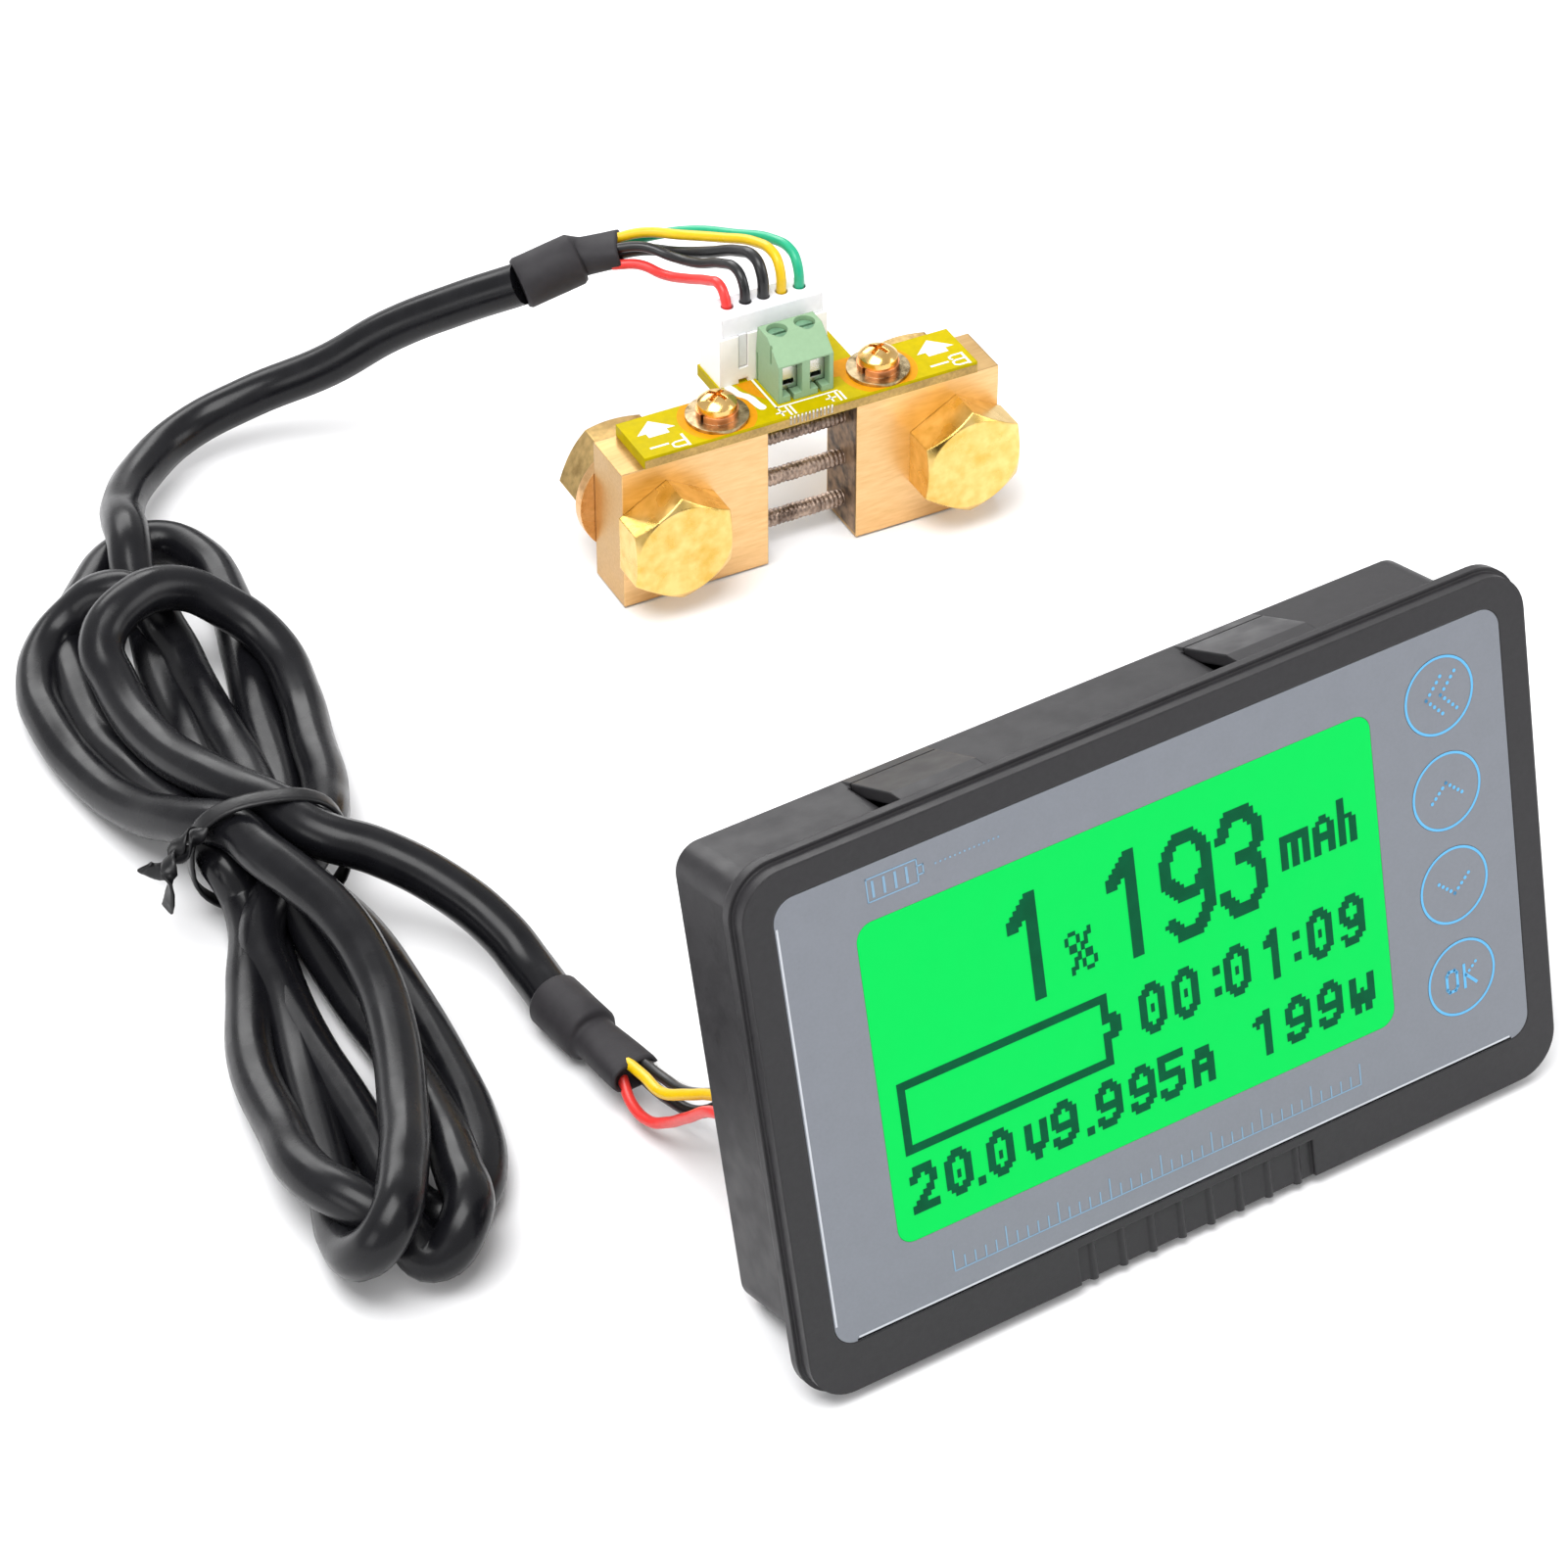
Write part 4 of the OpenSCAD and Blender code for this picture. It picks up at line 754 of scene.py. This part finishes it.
# the battery's outline, in dots from its lower left corner
BATTERY_LEFT, BATTERY_BOTTOM = -33.8, 25.3
BATTERY = [[(0, 0), (53, 0), (53, 6), (55.5, 6), (55.5, 10), (53, 10), (53, 15), (0, 15), (0, 0)]]
BATTERY_COLUMNS, BATTERY_ROWS = range(-1, 59), range(-1, 19)
BATTERY_PEN = 1.0                # half the outline's width
for i in BATTERY_COLUMNS:
    for j in BATTERY_ROWS:
        if near_stroke(i + 0.5, j + 0.5, BATTERY, BATTERY_PEN):
            lit.add((to_column(BATTERY_LEFT) + i, to_row(BATTERY_BOTTOM) - j))

# each run of dark dots in a row becomes one strip
MARGIN = 4                       # dots that may lie outside the grid
segments = Patches(0.035)
for row in range(-MARGIN, ROWS + MARGIN):
    column = -MARGIN
    while column < COLUMNS + MARGIN:
        if (column, row) not in lit:
            column += 1
            continue
        end = column
        while (end, row) in lit:
            end += 1
        segments.rect(SCREEN_LEFT + column * DOT_X, SCREEN_TOP - row * DOT_Z, SCREEN_LEFT + end * DOT_X,
                      SCREEN_TOP - (row - 1) * DOT_Z)
        column = end
segments.on_face("screen_segments", screen_ink, "base")

# ---------------------------------------------------------------- printing on the overlay
# a tick rule under the screen
RULE_LEFT, RULE_LENGTH, RULE_Z = -30.5, 53, 9.2
TICKS, LONG_EVERY = 40, 5
SHORT_TICK_Z, LONG_TICK_Z = 10.5, 11.6
THIN_PEN = 0.16
rule = Patches(0.03)
for k in range(TICKS + 1):
    x = RULE_LEFT + RULE_LENGTH * k / TICKS
    rule.line([(x, RULE_Z), (x, LONG_TICK_Z if k % LONG_EVERY == 0 else SHORT_TICK_Z)], THIN_PEN)
rule.line([(RULE_LEFT, RULE_Z - 0.1), (RULE_LEFT + RULE_LENGTH, RULE_Z - 0.1)], 0.14)

# a battery symbol and a dotted line over the screen's left corner
SYMBOL_LEFT, SYMBOL_RIGHT, SYMBOL_LOW, SYMBOL_HIGH = -34.6, -28.6, 54.6, 57.2
rule.line([(SYMBOL_LEFT, SYMBOL_LOW), (SYMBOL_RIGHT, SYMBOL_LOW), (SYMBOL_RIGHT, SYMBOL_HIGH),
           (SYMBOL_LEFT, SYMBOL_HIGH), (SYMBOL_LEFT, SYMBOL_LOW)], THIN_PEN)
rule.line([(SYMBOL_RIGHT, 55.4), (-27.9, 55.4), (-27.9, 56.4), (SYMBOL_RIGHT, 56.4)], THIN_PEN)
for k in range(4):
    x = -33.9 + 1.35 * k
    rule.line([(x, 55.1), (x, 56.7)], 0.3)
rule.dots([(-26.4, 55.9), (-18.8, 55.9)], 14, 0.12)
rule.on_face("overlay_rule", film_pale, "base")

# the overlay's pale cut edge, and painted shadow: a dark strip in the gap along its foot
OVERLAY_LEFT, OVERLAY_BOTTOM = -45.5, 6.2
EDGE_PEN = 0.24
rim = Patches(0.014)
rim.line([(OVERLAY_LEFT + 2.8, OVERLAY_BOTTOM + 0.4), (-OVERLAY_LEFT - 2.8, OVERLAY_BOTTOM + 0.4)], EDGE_PEN)
rim.line([(OVERLAY_LEFT + 0.25, OVERLAY_BOTTOM + 2.8), (OVERLAY_LEFT + 0.25, OVERLAY_BOTTOM + 49.5)], EDGE_PEN)
rim.on_face("overlay_rim", film_rim, "base")
gap_shadow = Patches(0.012)
gap_shadow.line([(OVERLAY_LEFT + 2.6, OVERLAY_BOTTOM + 0.14), (-OVERLAY_LEFT - 2.6, OVERLAY_BOTTOM + 0.14)],
              EDGE_PEN)
gap_shadow.on_face("overlay_gap_shadow", film_gap_shadow, "base")

# the keys' rings and marks, which ride on the keys
KEY_X, KEY_Z, KEY_PITCH = 37, 16.55, 11.45
ICON_DOT, RING_R, RING_W = 0.22, 4.42, 0.3
LETTER_PEN = 0.36
KEYS_UP = ["key_ok", "key_down", "key_up", "key_left"]
ICONS = {
    "key_left": [[(0.3, 2.2), (-1.7, 0), (0.3, -2.2)], [(2.2, 2.2), (0.2, 0), (2.2, -2.2)]],
    "key_up": [[(-2, -0.8), (0, 1.0), (2, -0.8)]],
    "key_down": [[(-2, 0.8), (0, -1.0), (2, 0.8)]],
}
for k, name in enumerate(KEYS_UP):
    z = KEY_Z + k * KEY_PITCH
    icon = Patches(0.03)
    icon.ring(KEY_X, z, RING_R - RING_W / 2, RING_R + RING_W / 2)
    for chevron in ICONS.get(name, []):
        icon.dots([(KEY_X + a, z + b) for a, b in chevron], 5, ICON_DOT)
    if name == "key_ok":
        icon.line([(KEY_X - 0.9, z + 1.2), (KEY_X - 1.7, z + 1.2), (KEY_X - 2.0, z + 0.8),
                   (KEY_X - 2.0, z - 0.9), (KEY_X - 1.7, z - 1.3), (KEY_X - 0.9, z - 1.3),
                   (KEY_X - 0.6, z - 0.9), (KEY_X - 0.6, z + 0.8), (KEY_X - 0.9, z + 1.2)], LETTER_PEN)
        icon.line([(KEY_X + 0.4, z + 1.3), (KEY_X + 0.4, z - 1.4)], LETTER_PEN)
        icon.dots([(KEY_X + 2, z + 1.2), (KEY_X + 0.6, z)], 4, 0.2)
        icon.line([(KEY_X + 0.6, z + 0.1), (KEY_X + 1.9, z - 1.3)], LETTER_PEN)
    icon.on_face(name + "_print", film_print, name)

# ---------------------------------------------------------------- printing on the shunt's board
SILK_PEN, SMALL_PEN = 0.34, 0.28
silk = Patches(0.02)
bowls = Patches(0.026)           # the letters' bowls, over their stems

# an arrow over a dash at each end of the board
for x in (-19.3, 19.6):
    silk.poly([(x - 2.6, 0.5), (x + 2.6, 0.5), (x, 2.9)])
    silk.rect(x - 1.4, -0.4, x + 1.4, 0.5)
    silk.line([(x - 2.1, -2.5), (x + 0.1, -2.5)], SILK_PEN)

# one letter of each pole, with one bowl or two
for x, letter_bowls in ((-16.8, 1), (22.2, 2)):
    silk.line([(x, -3.8), (x, -1.5)], SILK_PEN)
    for k in range(letter_bowls):
        y = -3.7 + 1.1 * k
        foot = [(x - 1.7, y + 0.33), (x - 1.9, y + 0.5)]
        if k == 0:
            foot = [(x - 0.1, y), (x - 1.4, y), (x - 1.9, y + 0.25)]
        bowls.band(foot + [(x - 1.9, y + 0.85), (x - 1.4, y + 1.1), (x - 0.1, y + 1.1)], 0.3)

# a plus and two strokes at each of the terminal's ways, and lines round the terminal
for x in (-4.4, 2.5):
    silk.line([(x, -2.9), (x + 1.2, -2.9)], 0.24)
    silk.line([(x + 0.6, -3.6), (x + 0.6, -2.2)], 0.24)
    silk.line([(x + 1.6, -3.8), (x + 1.6, -2.1)], SMALL_PEN)
    silk.line([(x + 2.2, -3.8), (x + 2.2, -2.1)], SMALL_PEN)
TERMINAL_CORNER = (-3.85, -1.75)
silk.line([TERMINAL_CORNER, (4.5, -1.75)], 0.26)
silk.line([TERMINAL_CORNER, (-3.85, 5.1)], SMALL_PEN)

# the plain curved strip in place of a printed mark
silk.band([(-7.2, 4.9), (-7.0, 4.2), (-6.9, 3.5), (-6.6, 2.8), (-6.1, 2.2), (-5.8, 1.5), (-5.7, 0.7),
           (-5.6, 0), (-5.4, -0.8)], 1.1)
silk.on_board("board_silk", board_silk, "base")
bowls.on_board("board_bowls", board_silk, "base")

# bare copper round the screws and beside the terminal
PAD_R, PAD_SIDES = 5.0, 48
HALF_DEPTH = 4.05                # half the board's depth, just inside its edges
copper = Patches(0.012)
for side in (-1, 1):
    pad = [(side * SCREW_X + PAD_R * math.cos(a), PAD_R * math.sin(a))
           for a in (2 * math.pi * k / PAD_SIDES for k in range(PAD_SIDES))]
    copper.poly([(x, max(-HALF_DEPTH, min(HALF_DEPTH, y))) for x, y in pad])
track = Patches(0.016)
track.poly([(-6.1, 5.05), (-5.7, 3.2), (-5.0, 1.6), (-4.1, 0.4), (-4.1, 5.05)])
track.poly([(4.4, 4.1), (4.4, 1.2), (6.2, 0.8), (7.6, 2.4), (8.6, 4.1)])
copper.on_board("board_copper", board_copper, "base")
track.on_board("board_tracks", board_copper, "base")


def board_front(name, spans, z0, z1, material):
    """Upright strips on the front edge of the board, from pairs of x."""
    y = BOARD_FRONT - 0.03
    verts, faces = [], []
    for x0, x1 in spans:
        k = len(verts)
        verts += [(x0, y, z0), (x1, y, z0), (x1, y, z1), (x0, y, z1)]
        faces.append((k, k + 1, k + 2, k + 3))
    mesh_piece(name, verts, faces, SHUNT, material, "base")


board_front("board_core", [(-BOARD_HALF_LENGTH, BOARD_HALF_LENGTH)], 20.05, 21.2, board_edge)

# the pale bites left where the board was broken from its neighbour
BITES, BITE_FROM, BITE_PITCH, BITE_W = 12, -3.2, 0.52, 0.24
board_front("board_bites", [(BITE_FROM + BITE_PITCH * k, BITE_FROM + BITE_W + BITE_PITCH * k)
                            for k in range(BITES)], 20.3, 21.55, board_silk)

# darker brown sheets on the blocks' inner faces, where the rods are soldered in
INNER_DARK_Y, INNER_DARK_LOW, INNER_DARK_HIGH = 3.75, 0.4, 19.8
for side, word in ((-1, "left"), (1, "right")):
    x = side * (BLOCK_GAP / 2 - 0.03)
    mesh_piece(f"block_inner_dark_{word}",
               [(x, -INNER_DARK_Y, INNER_DARK_LOW), (x, INNER_DARK_Y, INNER_DARK_LOW), (x, INNER_DARK_Y, INNER_DARK_HIGH),
                (x, -INNER_DARK_Y, INNER_DARK_HIGH)], [(0, 1, 2, 3)], SHUNT, block_inner_dark, "base")


# ---------------------------------------------------------------- resistance rods
ROD_HALF_LENGTH, ROD_R = 8.9, 1.07
ROD_MIDDLE_Z, ROD_PITCH = 10, 6.3
RIDGE, RIDGE_PITCH = 0.07, 0.62  # the rings of its cut surface
SWELL, SWELL_RATE = 0.035, 2.3   # its slower unevenness
ROD_RINGS, ROD_SIDES = 110, 20


def rough_rod(name, z):
    """A rod with uneven rings along it, running a little way into each block."""
    rings = []
    for k in range(ROD_RINGS):
        t = k / (ROD_RINGS - 1)
        x = -ROD_HALF_LENGTH + 2 * ROD_HALF_LENGTH * t
        ridge = RIDGE * math.sin(2 * math.pi * x / RIDGE_PITCH)
        radius = ROD_R + ridge + SWELL * math.sin(SWELL_RATE * x + z)
        rings.append(oval((x, 0, z), (1, 0, 0), (0, 1, 0), radius, radius, ROD_SIDES, 2.0))
    return loft(name, rings, SHUNT, rod_metal, "base")


rods = [rough_rod(f"rod_{k + 1}", ROD_MIDDLE_Z + (k - 1) * ROD_PITCH) for k in range(3)]
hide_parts("resistor_rods")

# ---------------------------------------------------------------- floor and light
FLOOR_SIZE = 6.0                 # metres each way
FLOOR_Z = -0.0003                # just under the object's feet
floor_mesh = bpy.data.meshes.new("floor")
floor_mesh.from_pydata([(-FLOOR_SIZE, -FLOOR_SIZE, FLOOR_Z), (FLOOR_SIZE, -FLOOR_SIZE, FLOOR_Z),
                        (FLOOR_SIZE, FLOOR_SIZE, FLOOR_Z), (-FLOOR_SIZE, FLOOR_SIZE, FLOOR_Z)],
                       [], [(0, 1, 2, 3)])
floor_mesh.materials.append(surface("floor_paper", (0.86, 0.86, 0.87), 0.9, vary=0.01, grain=60, patch=8))
floor = bpy.data.objects.new("floor", floor_mesh)
bpy.context.scene.collection.objects.link(floor)

world = bpy.data.worlds.new("studio")
world.use_nodes = True
background = world.node_tree.nodes["Background"]
background.inputs["Color"].default_value = (1, 1, 1, 1)
background.inputs["Strength"].default_value = 0.66
bpy.context.scene.world = world


def area_light(name, place, target, size, power):
    """A soft rectangular light, in metres and watts."""
    data = bpy.data.lights.new(name, "AREA")
    data.shape = "RECTANGLE"
    data.size, data.size_y = size
    data.energy = power
    obj = bpy.data.objects.new(name, data)
    obj.location = place
    obj.rotation_euler = (Vector(target) - Vector(place)).to_track_quat("-Z", "Y").to_euler()
    bpy.context.scene.collection.objects.link(obj)


area_light("key", (-0.25, -0.1, 0.8), (0, 0.0, 0), (0.6, 0.5), 7.0)
area_light("side", (0.7, -0.5, 0.45), (0, 0, 0.03), (0.5, 0.5), 2.8)
area_light("fill", (-0.8, -0.15, 0.3), (0, 0, 0.03), (0.4, 0.3), 1.0)
area_light("back", (0.1, 0.8, 0.5), (0, 0, 0.03), (0.7, 0.35), 4.0)
bpy.context.scene.view_settings.view_transform = "Standard"
